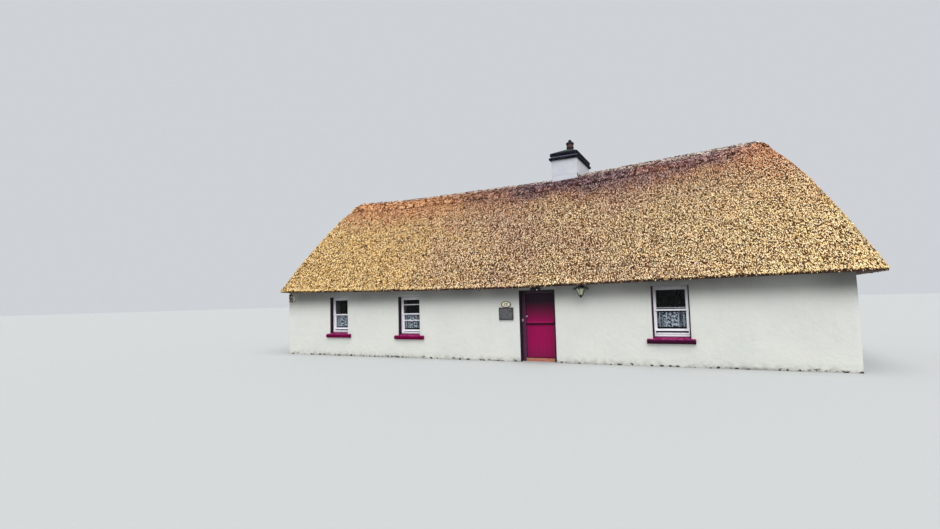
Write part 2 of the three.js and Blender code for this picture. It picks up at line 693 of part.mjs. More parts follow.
function wallFittings() {
  const { left, right, low, high, thick, rim, sunk } = PLAQUE;
  const face = -FIT - thick;
  const slab = solid(box(left, right, face, -FIT, low, high));
  const tray = solid(box(left + rim, right - rim, face - 1, face + sunk, low + rim, high - rim));
  place('slate_plaque', surface(slab.subtract(tray)), finish.slate);

  const oval = new THREE.Shape();
  oval.absellipse(NUMBER.x, NUMBER.z, NUMBER.halfX, NUMBER.halfZ, 0, Math.PI * 2);
  place('number_plate', upright(oval, -FIT - NUMBER.thick, -FIT, 16), finish.cream);

  const lampSection = [
    [-FIT, DOOR_LAMP.low],
    [-FIT, DOOR_LAMP.high],
    [-DOOR_LAMP.out * 0.6, DOOR_LAMP.high],
    [-DOOR_LAMP.out, DOOR_LAMP.high - 14],
    [-DOOR_LAMP.out, DOOR_LAMP.low + 14],
    [-DOOR_LAMP.out * 0.6, DOOR_LAMP.low],
  ].reverse();
  place('door_lamp', alongX(lampSection, DOOR_LAMP.left, DOOR_LAMP.right), finish.iron);
  lantern();
}

walls();
chimney();
thatch();
FRONT_WINDOWS.forEach(frontWindow);
BACK_WINDOWS.forEach(backWindow);
halfDoor();
wallFittings();

export default root;
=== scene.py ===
# %% [markdown]
# A thatched cottage. The solids of walls, roof, door and windows come ready at their real size, and this
# lesson gives them their surfaces: straw, limewash, paint, glass and lace. A shape here is mostly a formula
# on a grid of numbers: numpy works out all its points at once, and Blender only receives the arrays.
# All sizes are metres, measured from the foot of the front wall's left corner: x along the wall, y into
# the house, z up.

# %% The measured solids
import math

import bmesh
import bpy
import numpy as np
from mathutils import Matrix, Vector


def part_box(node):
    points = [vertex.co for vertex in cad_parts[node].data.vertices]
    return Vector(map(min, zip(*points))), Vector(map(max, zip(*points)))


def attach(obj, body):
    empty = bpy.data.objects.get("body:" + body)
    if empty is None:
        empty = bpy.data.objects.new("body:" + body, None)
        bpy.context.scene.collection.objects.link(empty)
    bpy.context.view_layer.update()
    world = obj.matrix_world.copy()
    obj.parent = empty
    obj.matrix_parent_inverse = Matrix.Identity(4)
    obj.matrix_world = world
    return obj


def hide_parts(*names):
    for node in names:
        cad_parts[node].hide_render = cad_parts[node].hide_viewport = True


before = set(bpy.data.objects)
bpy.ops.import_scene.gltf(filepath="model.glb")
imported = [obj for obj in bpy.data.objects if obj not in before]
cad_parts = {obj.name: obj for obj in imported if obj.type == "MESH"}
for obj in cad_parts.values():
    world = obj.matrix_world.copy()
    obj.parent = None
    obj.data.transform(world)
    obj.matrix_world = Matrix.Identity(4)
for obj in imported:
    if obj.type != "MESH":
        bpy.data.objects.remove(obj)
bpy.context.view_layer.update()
HOME = np.array(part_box("front_wall_left")[0])
print("solids:", len(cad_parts), "front wall's left corner:", HOME.round(3))

# %% [markdown]
# The picture is seen by a camera at eye height that looks up a little, half to the left. Three turns describe
# that better than a matrix copied from somewhere: a turn to the left, a tilt up, and a slight roll of the
# hand. The lens is very wide, which is why the near end of the roof looks so much taller than the far one.

# %% Camera
EYE = HOME + (13.890, -13.223, 1.737)
TURN_LEFT = math.radians(26.334)
TILT_UP = math.radians(4.203)
ROLL = math.radians(-1.393)
SENSOR = 36.0
FOCAL_PIXELS = 496.04
IMAGE_WIDTH = 940

camera = bpy.data.objects.new("camera", bpy.data.cameras.new("camera"))
bpy.context.scene.collection.objects.link(camera)
camera.data.sensor_width = SENSOR
camera.data.lens = SENSOR * FOCAL_PIXELS / IMAGE_WIDTH
level = Matrix.Rotation(TURN_LEFT, 4, "Z") @ Matrix.Rotation(math.pi / 2 + TILT_UP, 4, "X")
camera.matrix_world = Matrix.Translation(EYE) @ level @ Matrix.Rotation(ROLL, 4, "Z")
bpy.context.scene.camera = camera
print("lens:", round(camera.data.lens, 2), "mm")

# %% [markdown]
# An overcast day is the softest studio there is. Most of its light comes from high up, which is why the wall
# goes dark under the eave. A picture of a real sky could give it, but two plain lights are easier to adjust:
# a pale world lights the sides, and one wide sun, high up, does the rest. The wider the sun, the softer the
# edge of that shade.

# %% Light
SKY = (0.91, 0.95, 1.0)
SKY_STRENGTH = 0.68
SUN_STRENGTH = 3.5
SUN_SPREAD = math.radians(65)
SUN_FROM = Vector((0.22, -0.38, 1.0))

world = bpy.data.worlds.new("overcast")
bpy.context.scene.world = world
world.use_nodes = True
world.node_tree.nodes["Background"].inputs["Color"].default_value = (*SKY, 1)
world.node_tree.nodes["Background"].inputs["Strength"].default_value = SKY_STRENGTH
sun = bpy.data.objects.new("sun", bpy.data.lights.new("sun", "SUN"))
sun.data.energy = SUN_STRENGTH
sun.data.angle = SUN_SPREAD
sun.rotation_mode = "QUATERNION"
sun.rotation_quaternion = SUN_FROM.to_track_quat("Z", "Y")
bpy.context.scene.collection.objects.link(sun)
bpy.context.scene.view_settings.view_transform = "Standard"

# %% [markdown]
# Every finish is a small tree of nodes. Writing such trees is wordy, so two helpers do it: `node` adds one
# node and plugs in or sets its inputs, and `finish` starts a material with its shader. Colours are given as
# they look on a screen, from 0 to 255, and turned into the linear numbers that light works with.

# %% Starting a finish
def paint_of(red, green, blue):
    """A screen colour from 0 to 255 as linear red, green, blue and alpha."""
    screen = np.array([red, green, blue]) / 255
    linear = np.where(screen <= 0.04045, screen / 12.92, ((screen + 0.055) / 1.055) ** 2.4)
    return (*linear.tolist(), 1.0)


def node(tree, kind, plugs=None, **settings):
    """Adds a node. plugs maps an input's name or number to a value or to another node's output."""
    made = tree.nodes.new(kind)
    for key, value in settings.items():
        setattr(made, key, value)
    for key, value in (plugs or {}).items():
        if isinstance(value, bpy.types.NodeSocket):
            tree.links.new(value, made.inputs[key])
        else:
            made.inputs[key].default_value = value
    return made


def finish(name, colour=None, **shader):
    """A material with one Principled shader. In the names of its settings an underscore stands for a space.
    Gives the material, its tree and the shader."""
    made = bpy.data.materials.new(name)
    made.use_nodes = True
    surface = made.node_tree.nodes["Principled BSDF"]
    if colour:
        surface.inputs["Base Color"].default_value = paint_of(*colour)
    for key, value in shader.items():
        surface.inputs[key.replace("_", " ")].default_value = value
    return made, made.node_tree, surface


# %% [markdown]
# A finish of straw or limewash changes from place to place. So its tree starts with the place of the point on
# the house, and soft noise and arithmetic turn that into numbers from 0 to 1. A ramp or a blend turns those
# numbers into colours. Each step has a short helper, so that a finish below reads like a recipe.

# %% Steps of a finish
def place_of(tree):
    """The place of a point, measured from the front wall's left corner. All pieces share one origin."""
    origin = node(tree, "ShaderNodeTexCoord").outputs["Object"]
    return node(tree, "ShaderNodeVectorMath", {0: origin, 1: tuple(-HOME)}, operation="ADD").outputs[0]


def axes(tree):
    """The place of a point as its three numbers."""
    return node(tree, "ShaderNodeSeparateXYZ", {0: place_of(tree)}).outputs


def attribute(tree, label):
    """A number that the mesh carries at each of its points."""
    return node(tree, "ShaderNodeAttribute", attribute_name=label).outputs["Fac"]


def grain(tree, scale, detail=2.0, rough=0.5, stretch=(1, 1, 1)):
    """Noise about 0.5, as one number. stretch squeezes it along an axis where it is over 1."""
    moved = node(tree, "ShaderNodeMapping", {"Vector": place_of(tree), "Scale": stretch})
    plugs = {"Vector": moved.outputs[0], "Scale": scale, "Detail": detail, "Roughness": rough}
    return node(tree, "ShaderNodeTexNoise", plugs).outputs[0]


def ramp(tree, value, *stops):
    """A number from 0 to 1 turned into a colour by stops of (place, red, green, blue)."""
    made = node(tree, "ShaderNodeValToRGB", {0: value})
    points = made.color_ramp.elements
    while len(points) < len(stops):
        points.new(0.5)
    for point, (where, *colour) in zip(points, stops):
        point.position = where
        point.color = paint_of(*colour)
    return made.outputs[0]


def blend(tree, share, first, second, how="MIX"):
    """Mixes two colours, each a screen colour or a node's output. share is how much of the second shows."""
    made = node(tree, "ShaderNodeMix", data_type="RGBA", blend_type=how)
    for key, value in ((0, share), (6, first), (7, second)):
        if isinstance(value, bpy.types.NodeSocket):
            tree.links.new(value, made.inputs[key])
        else:
            made.inputs[key].default_value = paint_of(*value) if key else value
    return made.outputs[2]


def sums(tree, how, first, second=0.0, third=0.0):
    """One step of arithmetic on numbers."""
    return node(tree, "ShaderNodeMath", {0: first, 1: second, 2: third}, operation=how).outputs[0]


def times(tree, first, second):
    """The product of two numbers."""
    return sums(tree, "MULTIPLY", first, second)


def apart(tree, first, second):
    """How far two numbers lie from each other."""
    return sums(tree, "ABSOLUTE", sums(tree, "SUBTRACT", first, second))


def near(tree, value, place, reach):
    """1 where a number is within reach of a place, and 0 elsewhere."""
    return sums(tree, "COMPARE", value, place, reach)


def between(tree, value, low, high, to_low=0.0, to_high=1.0):
    """A number stretched from one span to another, and held inside it."""
    plugs = {"Value": value, "From Min": low, "From Max": high, "To Min": to_low, "To Max": to_high}
    return node(tree, "ShaderNodeMapRange", plugs).outputs[0]


def colour_by(tree, surface, colour):
    """Plugs a worked out colour into the shader."""
    tree.links.new(colour, surface.inputs["Base Color"])


def relief(tree, surface, height, depth):
    """Small height differences, in metres, that only the light shows."""
    bump = node(tree, "ShaderNodeBump", {"Height": height, "Distance": depth})
    tree.links.new(bump.outputs[0], surface.inputs["Normal"])


print("finishes so far:", len(bpy.data.materials))

# %% [markdown]
# Shapes need helpers too. A mesh is a list of points and a list of faces that name them. It can be pulled
# into shape by hand, but a formula can be read, corrected and used again. Most pieces of this house are a
# profile carried along a path, which gives a grid of points: `loft` closes the two ends of the path with
# lids, and `ring` joins its end to its start.

# %% Grids of points and faces
def mix(low, high, share):
    """A share of the way from one number or point to another."""
    return low + (high - low) * share


def unit(vectors):
    """Each vector at length 1; a vector without length stays as it is."""
    return vectors / np.maximum(np.linalg.norm(vectors, axis=-1, keepdims=True), 1e-9)


def outward(points, faces):
    """Turns the faces of a closed body round if they look inwards: their volume is then negative."""
    volume = 0.0
    for group in faces:
        for k in range(1, group.shape[1] - 1):
            across = np.cross(points[group[:, k]], points[group[:, k + 1]])
            volume += np.einsum("ij,ij->", points[group[:, 0]], across)
    return points, faces if volume > 0 else [group[:, ::-1] for group in faces]


def net(rows, columns, around=True, closed=False):
    """The four-sided faces of a grid of rows x columns points. around joins the last column to the first,
    closed the last row to the first."""
    row = np.arange(rows if closed else rows - 1)[:, None] * columns
    below = (row + columns) % (rows * columns)
    column = np.arange(columns if around else columns - 1)[None, :]
    after = (column + 1) % columns
    return np.stack([row + column, row + after, below + after, below + column], -1).reshape(-1, 4)


def loft(loops):
    """A closed body: loops is (places along the path, points of the profile, 3). Both ends get a lid."""
    places, count = loops.shape[:2]
    last = (places - 1) * count + np.arange(count)
    faces = [net(places, count), np.arange(count)[::-1][None], last[None]]
    return outward(loops.reshape(-1, 3), faces)


def ring(loops):
    """A closed body like loft, but the path ends where it starts."""
    return outward(loops.reshape(-1, 3), [net(*loops.shape[:2], closed=True)])


def joined(*bodies):
    """Several bodies as one: their points in a row, with their faces counted on."""
    points, groups, start = [], [], 0
    for body_points, body_faces in bodies:
        points.append(body_points)
        groups += [group + start for group in body_faces]
        start += len(body_points)
    return np.concatenate(points), groups


# %% [markdown]
# `make_piece` hands points and faces to Blender as whole arrays, moves them to the house, says which body
# of the house the piece belongs to, and hides the measured solids that it replaces. A few solids are good as
# they are: those only get a finish.

# %% Handing a shape to Blender
def make_piece(name, shape, finishes, body="house", stands_for=(), smooth=True, which=None):
    """A mesh from points (n, 3) and groups of faces, each an array of (count, corners). which says, for each
    face, which of the finishes it has."""
    points, faces = shape
    sizes = np.concatenate([np.full(len(group), group.shape[1]) for group in faces])
    corners = np.concatenate([group.ravel() for group in faces])
    mesh = bpy.data.meshes.new(name)
    mesh.vertices.add(len(points))
    mesh.vertices.foreach_set("co", (points + HOME).astype(np.float32).ravel())
    mesh.loops.add(len(corners))
    mesh.loops.foreach_set("vertex_index", corners.astype(np.int32))
    mesh.polygons.add(len(sizes))
    mesh.polygons.foreach_set("loop_start", (np.cumsum(sizes) - sizes).astype(np.int32))
    mesh.polygons.foreach_set("use_smooth", np.full(len(sizes), smooth))
    for material in finishes if isinstance(finishes, list) else [finishes]:
        mesh.materials.append(material)
    if which is not None:
        mesh.polygons.foreach_set("material_index", which.astype(np.int32))
    mesh.update(calc_edges=True)
    made = bpy.data.objects.new(name, mesh)
    bpy.context.scene.collection.objects.link(made)
    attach(made, body)
    if stands_for:
        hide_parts(*stands_for)
    return made


def mark_points(piece, label, values):
    """Gives each point of a piece a number, which its finish can read."""
    marks = piece.data.attributes.new(label, "FLOAT", "POINT")
    marks.data.foreach_set("value", values.astype(np.float32).ravel())


def repaint(material, *names):
    """Gives solids of the house, as they are, a finish."""
    for name in names:
        mesh = bpy.data.objects[name].data
        mesh.materials.clear()
        mesh.materials.append(material)


# %% [markdown]
# Nothing here is made with a ruler, so most pieces need a little unevenness. It has to be the same on each
# run, and two pieces that touch have to be uneven together. Noise that depends only on the place does both.

# %% Noise by place
def scattered(cubes, seed):
    """A number from 0 to 1 for each cube of a lattice, given by its three whole numbers. It is as good as
    random, and the same cube always has the same number."""
    i, j, k = cubes.T
    key = (i * 73856093) ^ (j * 19349663) ^ (k * 83492791) ^ (seed * 2654435761)
    key = ((key ^ (key >> 13)) * 1274126177) & 0xFFFFFFFF
    return ((key ^ (key >> 16)) & 0xFFFF) / 0xFFFF


def noise(points, cell, seed):
    """Smooth noise from -1 to 1: a random number on every corner of a lattice of cubes of side `cell`,
    blended across each cube with the curve t*t*(3 - 2t)."""
    flat = points.reshape(-1, 3) / cell
    low = np.floor(flat).astype(np.int64)
    share = flat - low
    share = share * share * (3 - 2 * share)
    total = np.zeros(len(flat))
    for corner in np.ndindex(2, 2, 2):
        weight = np.prod(np.where(corner, share, 1 - share), axis=1)
        total += weight * scattered(low + corner, seed)
    return (2 * total - 1).reshape(points.shape[:-1])


print("noise at the corner:", noise(np.zeros((1, 3)), 0.1, 1).round(3))

# %% [markdown]
# The floor that the house stands on is only a stage: pale, plain and wide enough to reach the horizon.

# %% Stage
FLOOR_HALF = 300.0
corners = [(FLOOR_HALF * x, FLOOR_HALF * y, 0) for x, y in ((-1, -1), (1, -1), (1, 1), (-1, 1))]
floor_mesh = bpy.data.meshes.new("stage_floor")
floor_mesh.from_pydata(corners, [], [(0, 1, 2, 3)])
floor_mesh.materials.append(finish("pale_floor", (170, 172, 171), Roughness=0.9)[0])
stage_floor = bpy.data.objects.new("stage_floor", floor_mesh)
bpy.context.scene.collection.objects.link(stage_floor)
print("stage floor:", 2 * FLOOR_HALF, "m wide")

# %% [markdown]
# The roof is the heart of this house. Its solid is a formula: the eave is a rectangle with round corners, the
# ridge a line over the middle, and each point of the eave climbs to its own point of the ridge. `share` says
# how far down that climb a point lies. The height falls as share to a power above 1, which rounds the ridge
# and lets the slope bulge. Straw laid by hand is never flat either, so long low waves are added. The solid
# has them too. The same formula on a much finer grid gives a skin to comb the straw onto.

# %% The formula of the roof
LENGTH, DEPTH, WALL_HEAD = 16.600, 6.000, 2.300
EAVE_LEFT, EAVE_RIGHT, EAVE_FRONT, EAVE_BACK = -0.200, 17.190, -0.350, 6.350
RIDGE_Y = 3.000
RIDGE_LEFT, RIDGE_RIGHT = 1.100, 15.050
DOOR_X = 8.900
RIDGE_LOW, RIDGE_LEFT_RISE, RIDGE_LEFT_RUN, RIDGE_RIGHT_RISE = 5.730, 0.090, 2.600, 0.350
EAVE_LOW, EAVE_LEFT_RISE, EAVE_RIGHT_RISE, EAVE_RUN = 2.062, 0.130, 0.115, 9.000
SLOPE_POWER, LEFT_HIP_POWER, RIGHT_HIP_POWER = 1.18, 1.29, 1.41
SWELLS = ((0.009, 1.950, 3.100, 0), (0.008, 2.700, -1.700, 1), (0.005, 1.500, 1.500, 2))
LIP = 0.060


def ridge_height(x):
    """Lowest over the door, rising as a power of the run near the left end and all the way to the right."""
    left = np.clip(1 - (x - RIDGE_LEFT) / RIDGE_LEFT_RUN, 0, None)
    right = np.clip((x - DOOR_X) / (RIDGE_RIGHT - DOOR_X), 0, None)
    return RIDGE_LOW + RIDGE_LEFT_RISE * left ** 1.5 + RIDGE_RIGHT_RISE * right ** 0.9


def eave_height(x):
    """Lowest near the door, rising slowly towards both ends, as a power of the run."""
    run = np.abs(x - DOOR_X) / EAVE_RUN
    return EAVE_LOW + np.where(x < DOOR_X, EAVE_LEFT_RISE * run ** 1.5, EAVE_RIGHT_RISE * run ** 0.8)


print("ridge:", ridge_height(RIDGE_LEFT).round(2), "to", ridge_height(RIDGE_RIGHT).round(2), "m high")

# %% [markdown]
# Now the places. Going once round the eave, every place gets its x and y there and the x of its own point on
# the ridge. On the hips all places share one end of the ridge. How much of a hip a place is goes from 0 to 1,
# and it sets how full the slope is there.

# %% Once round the eave
LONG, END, CORNER = 200, 72, 10
EAVE_CORNERS = (0.210, 0.480)
WALL_CORNERS = (0.120, 0.120)
INSET, RIDGE_INSET = 0.060, 0.420


def stations(left, right, front, back, left_corner, right_corner, ridge_left, ridge_right):
    """Places once round a rectangle with round corners, anticlockwise from the front's left end.
    Gives x, y, the ridge point's x, and how far the place belongs to a hip, from 0 to 1."""
    start, stop = left + left_corner, right - right_corner
    along = np.arange(LONG) / LONG
    across = np.arange(END) / END
    bend = np.arange(CORNER) / CORNER * math.pi / 2
    slope_hip = np.abs(2 * along - 1) ** 6
    parts = []

    def side(x, y, ridge, hip):
        parts.append(np.broadcast_arrays(x, y, ridge, hip))

    def corner(centre_x, centre_y, radius, turn, ridge):
        side(centre_x + radius * np.cos(bend + turn), centre_y + radius * np.sin(bend + turn), ridge, 1.0)

    side(mix(start, stop, along), front, mix(ridge_left, ridge_right, along), slope_hip)
    corner(stop, front + right_corner, right_corner, -math.pi / 2, ridge_right)
    side(right, mix(front + right_corner, back - right_corner, across), ridge_right, 1.0)
    corner(stop, back - right_corner, right_corner, 0, ridge_right)
    side(mix(stop, start, along), back, mix(ridge_right, ridge_left, along), slope_hip)
    corner(start, back - left_corner, left_corner, math.pi / 2, ridge_left)
    side(left, mix(back - left_corner, front + left_corner, across), ridge_left, 1.0)
    corner(start, front + left_corner, left_corner, math.pi, ridge_left)
    return [np.concatenate(column) for column in zip(*parts)]


def roof_sheet(places, shares, low, drop=0.0, power=None):
    """Points (shares, places, 3): plan = mix(ridge point, eave point, share) and
    height = high - (high - low) * share ** power, with a fuller power on the hips."""
    x, y, ridge, hip = places
    share = np.asarray(shares)[:, None]
    high = ridge_height(ridge) - drop
    on_hip = np.where(ridge > (RIDGE_LEFT + RIDGE_RIGHT) / 2, RIGHT_HIP_POWER, LEFT_HIP_POWER)
    bulge = mix(SLOPE_POWER, on_hip, hip) if power is None else power
    z = high - (high - low) * share ** bulge
    return np.stack([mix(ridge, x, share), mix(RIDGE_Y, y, share), z], -1)


def swell(x, y, share):
    """Long low waves of straw laid by hand, in metres: three sines along slanting lines, each given as
    (height, run along x, run along y, start). They fade out over the top quarter and partly at the eave."""
    fade = np.minimum(1, share / 0.25) * (1 - 0.7 * share ** 8)
    return fade * sum(high * np.sin(2 * math.pi * (x / run_x + y / run_y) + start)
                      for high, run_x, run_y, start in SWELLS)


def outer_sheet(shares):
    """The roof's outside from the ridge (share 0) to the upper edge of the cut eave (share 1)."""
    sheet = roof_sheet(EAVE_LINE, shares, eave_height(EAVE_LINE[0]) + LIP)
    sheet[..., 2] += swell(sheet[..., 0], sheet[..., 1], np.asarray(shares)[:, None])
    return sheet


EAVE_LINE = stations(EAVE_LEFT, EAVE_RIGHT, EAVE_FRONT, EAVE_BACK, *EAVE_CORNERS, RIDGE_LEFT, RIDGE_RIGHT)
WALL_LINE = stations(INSET, LENGTH - INSET, INSET, DEPTH - INSET, *WALL_CORNERS, RIDGE_LEFT + RIDGE_INSET,
                     RIDGE_RIGHT - RIDGE_INSET)
print("places round the eave:", len(EAVE_LINE[0]))

# %% [markdown]
# Between the waves straw has smaller lumps, where one bundle meets the next. So the skin is pushed in and out
# along its own normals by soft noise. It is also sunk a little: straws will stand out of it, and their ends
# should reach the measured surface. Near the ridge both pushes fade out, for the covering of the ridge.

# %% The skin of the thatch
def normals_of(sheet):
    """Outward normals of a sheet (shares, places, 3) that closes on itself along the places."""
    around = np.roll(sheet, -1, axis=1) - np.roll(sheet, 1, axis=1)
    return unit(np.cross(np.gradient(sheet, axis=0), around))


def lumps(points):
    """How far a bundle lies proud of the formula, in metres."""
    return 0.011 * noise(points, 0.38, 2) + 0.003 * noise(points, 0.14, 3)


RINGS, INNER_RINGS = 60, 8
BED_DEPTH = 0.024
RIDGE_FADE = 0.12
THATCH_THICK, SOFFIT_POWER = 0.560, 1.12
shares = np.linspace(0, 1, RINGS + 1)
skin = outer_sheet(shares)
skin_normals = normals_of(skin)
fade = np.clip(shares / RIDGE_FADE, 0, 1)[:, None]
skin = skin + skin_normals * ((lumps(skin) - BED_DEPTH) * fade)[..., None]

lip = skin[-1:].copy()
lip[..., 2] = eave_height(EAVE_LINE[0]) + 0.006 * noise(lip[0], 0.12, 4)
lip[..., :2] -= 0.014 * skin_normals[-1:, :, :2]
inner = roof_sheet(WALL_LINE, np.linspace(1, 0, INNER_RINGS + 1), eave_height(WALL_LINE[0]), THATCH_THICK,
                   SOFFIT_POWER)
section = np.concatenate([skin, lip, inner])
print("points in the skin:", section.shape[0] * section.shape[1])

# %% [markdown]
# Seen from afar thatch has its own weather: gold where rain runs off it well, red towards the ridge, brown
# over the door and grey on the very top. These wide patches come first. Each is laid over the last with a
# share that depends on how far down the roof and how far along the house a place lies, plus some noise.

# %% The weather of the thatch
def three_ways_down(tree):
    """How far down a place lies on the slopes, the right hip and the left hip: 0 at the ridge, 1 at the
    eave."""
    x, y, _ = axes(tree)
    slope = sums(tree, "DIVIDE", apart(tree, y, RIDGE_Y), RIDGE_Y - EAVE_FRONT)
    right = sums(tree, "DIVIDE", sums(tree, "SUBTRACT", x, RIDGE_RIGHT), EAVE_RIGHT - RIDGE_RIGHT)
    left = sums(tree, "DIVIDE", sums(tree, "SUBTRACT", RIDGE_LEFT, x), RIDGE_LEFT - EAVE_LEFT)
    return slope, right, left


def way_down(tree):
    """How far down the roof a place lies: the greatest of the three ways, as in the roof's formula."""
    slope, right, left = three_ways_down(tree)
    return sums(tree, "MAXIMUM", slope, sums(tree, "MAXIMUM", right, left))


def straw_colours(tree):
    """Wide patches of weather: gold, brown over the door, red towards the ridge, tan on the right hip, plum
    flecks, a bright rim on the left hip's corner, and on top a grey band with a pale crest."""
    x = axes(tree)[0]
    down = way_down(tree)
    patch = sums(tree, "SUBTRACT", grain(tree, 0.9, 4.0, 0.6), 0.5)
    shifted = sums(tree, "MULTIPLY_ADD", patch, 0.55, down)
    over_left = between(tree, x, 8.4, 4.5)
    over_left_out = sums(tree, "SUBTRACT", 1.0, over_left)
    over_right = between(tree, x, 9.5, 14.0)
    clouds = between(tree, grain(tree, 1.6, 3.0), 0.35, 0.65)
    fresh = blend(tree, clouds, (255, 228, 160), (255, 218, 154))
    gold = blend(tree, over_left, fresh, (255, 216, 132))
    middle = between(tree, apart(tree, x, 9.0), 1.5, 6.5, 1.0, 0.0)
    brown_patch = between(tree, grain(tree, 0.55, 4.0, 0.6), 0.40, 0.62, 0.25, 1.0)
    browned = times(tree, middle, brown_patch)
    weathered = blend(tree, times(tree, browned, 0.8), gold, (208, 154, 120))
    red = blend(tree, over_left, (184, 104, 80), (236, 166, 112))
    reddened = blend(tree, between(tree, shifted, 0.20, 0.50, 0.9, 0.0), weathered, red)
    plum = blend(tree, over_right, (116, 82, 104), (166, 134, 146))
    crown = blend(tree, over_left, plum, (236, 176, 124))
    higher = sums(tree, "MULTIPLY_ADD", middle, -0.06, shifted)
    greyed = blend(tree, between(tree, higher, 0.06, 0.24, 0.9, 0.0), reddened, crown)
    hip = times(tree, between(tree, x, 14.0, 15.4), between(tree, down, 0.15, 0.75, 0.75, 0.0))
    tanned = blend(tree, hip, greyed, (250, 176, 116))
    fleck = between(tree, grain(tree, 4.5, 3.0, 0.6), 0.64, 0.68, 0.0, 0.6)
    flecked = blend(tree, times(tree, fleck, over_left_out), tanned, (104, 56, 92))
    slope, _, left = three_ways_down(tree)
    off_corner = apart(tree, left, slope)
    rimmed = blend(tree, between(tree, off_corner, 0.03, 0.10, 0.7, 0.0), flecked, (255, 236, 170))
    crest = sums(tree, "MULTIPLY_ADD", over_right, -0.045, down)
    return blend(tree, between(tree, crest, 0.025, 0.070, 0.85, 0.0), rimmed, (236, 222, 216))


# %% [markdown]
# Seen close, thatch is a crowd of straw ends: bright where an end catches the sky, brown in the gaps. The bed
# under the straws is the same weather with painted shade, darker where the straws stand dense. A straw reads
# its own tone, from 0 to 1, from its mesh, and a steep ramp makes most ends bright and a few nearly black.
# Towards its buried end it is painted brown, as the shade among the straws.

# %% Bed and straw
straw_bed, tree, surface = finish("straw_bed", Roughness=0.95)
slope, _, left = three_ways_down(tree)
behind = between(tree, axes(tree)[1], RIDGE_Y, RIDGE_Y + 0.3)
on_left_hip = between(tree, sums(tree, "SUBTRACT", left, slope), 0.0, 0.05)
thinly_sown = sums(tree, "MAXIMUM", behind, on_left_hip)
# Painted shade of the gaps: darker where straws stand dense, lighter on the back and the left hip.
bed_shade = blend(tree, thinly_sown, (112, 82, 60), (182, 144, 108))
colour_by(tree, surface, blend(tree, 1.0, straw_colours(tree), bed_shade, "MULTIPLY"))
relief(tree, surface, grain(tree, 30.0, 4.0, 0.7), 0.03)
# Painted shade: the cut and the soffit under the eave are dark.
shaded_straw_cut, tree, surface = finish("shaded_straw_cut", Roughness=0.95)
colour_by(tree, surface, ramp(tree, grain(tree, 40.0, 4.0, 0.7), (0.35, 44, 26, 24), (0.65, 92, 62, 46)))

straw, tree, surface = finish("straw", Roughness=0.8, Specular_IOR_Level=0.25)
tone = attribute(tree, "tone")
butt = attribute(tree, "butt")
sunny = between(tree, apart(tree, axes(tree)[0], 10.0), 2.0, 6.5, -0.01, 0.09)
lit_tone = sums(tree, "ADD", tone, sunny)
light = ramp(tree, lit_tone, (0.0, 6, 0, 2), (0.33, 60, 34, 28), (0.49, 250, 242, 230), (0.70, 255, 255, 255))
coloured = blend(tree, 1.0, straw_colours(tree), light, "MULTIPLY")
below_ridge = between(tree, way_down(tree), 0.1, 0.4, 0.3, 1.0)
pale = times(tree, between(tree, tone, 0.6, 0.9, 0.0, 0.7), below_ridge)
pale_ends = blend(tree, pale, coloured, (255, 246, 216))
# Painted shade: each straw darkens towards its buried end.
shaded_root = blend(tree, 1.0, coloured, (150, 112, 80), "MULTIPLY")
colour_by(tree, surface, blend(tree, between(tree, butt, 0.0, 0.8), shaded_root, pale_ends))
print("nodes in the straw finish:", len(tree.nodes))

# %% [markdown]
# The skin becomes four closed bodies: two slopes and two hips. The straw is cut off below, and the cut and
# the soffit are painted dark as shade. At each end of the ridge many points fall into one place, so they are
# welded there.

# %% Four pieces of thatch
HALF = CORNER // 2
SIDES = {
    "front": (-HALF, LONG + HALF),
    "right_hip": (LONG + HALF, LONG + CORNER + END + HALF),
    "back": (LONG + CORNER + END + HALF, 2 * LONG + 2 * CORNER + END + HALF),
    "left_hip": (2 * LONG + 2 * CORNER + END + HALF, 2 * LONG + 3 * CORNER + 2 * END + HALF),
}


def part_of(sheet, name):
    """The part of a sheet (shares, places, 3) between two corners of the house."""
    first, last = SIDES[name]
    return np.take(sheet, np.arange(first, last + 1), axis=1, mode="wrap")


SAME_PLACE = 1e-5


def weld(piece):
    """Joins points that lie in the same place."""
    body = bmesh.new()
    body.from_mesh(piece.data)
    bmesh.ops.remove_doubles(body, verts=body.verts, dist=SAME_PLACE)
    bmesh.ops.dissolve_degenerate(body, dist=SAME_PLACE, edges=body.edges)
    body.to_mesh(piece.data)
    body.free()


for name in SIDES:
    shape = loft(np.swapaxes(part_of(section, name), 0, 1))
    below_lip = np.tile(np.arange(len(section)) >= RINGS, len(shape[1][0]) // len(section))
    weld(make_piece(f"straw_bed_{name}", shape, [straw_bed, shaded_straw_cut],
                    stands_for=[f"thatch_{name}"], which=np.append(below_lip, [False, False])))
print("straw beds:", len(SIDES))

# %% [markdown]
# The straws are sown evenly: every cell of the skin gets its share by its area, and a straw falls on a
# random place in its cell. Blender can scatter things over a mesh by itself, but a straw also has to know
# its way: here the cell's own edges say which way is down the roof and which way is out of it.

# %% Sowing
RANDOM = np.random.default_rng(7)


def sow(sheet, count):
    """count places on a sheet (rows, columns, 3). Equal steps along the summed areas choose the cells, and
    two random shares the place in each. Gives place, normal and way down."""
    corner_a, corner_b = sheet[:-1, :-1], sheet[:-1, 1:]
    corner_c, corner_d = sheet[1:, 1:], sheet[1:, :-1]
    area = np.linalg.norm(np.cross(corner_c - corner_a, corner_d - corner_b), axis=-1).ravel() / 2
    edges = np.cumsum(area) / area.sum()
    wanted = (np.arange(count) + RANDOM.random(count)) / count
    cell = np.searchsorted(edges, wanted).clip(0, len(area) - 1)
    row, column = np.divmod(cell, sheet.shape[1] - 1)
    u, v = RANDOM.random((2, count, 1))
    a, b = corner_a[row, column], corner_b[row, column]
    c, d = corner_c[row, column], corner_d[row, column]
    down = unit(mix(d - a, c - b, u))
    normal = unit(np.cross(down, mix(b - a, c - d, v)))
    return mix(mix(a, b, u), mix(d, c, u), v), normal, down


print("front slope's straws lie on", part_of(skin, "front").shape[:2], "points of the skin")

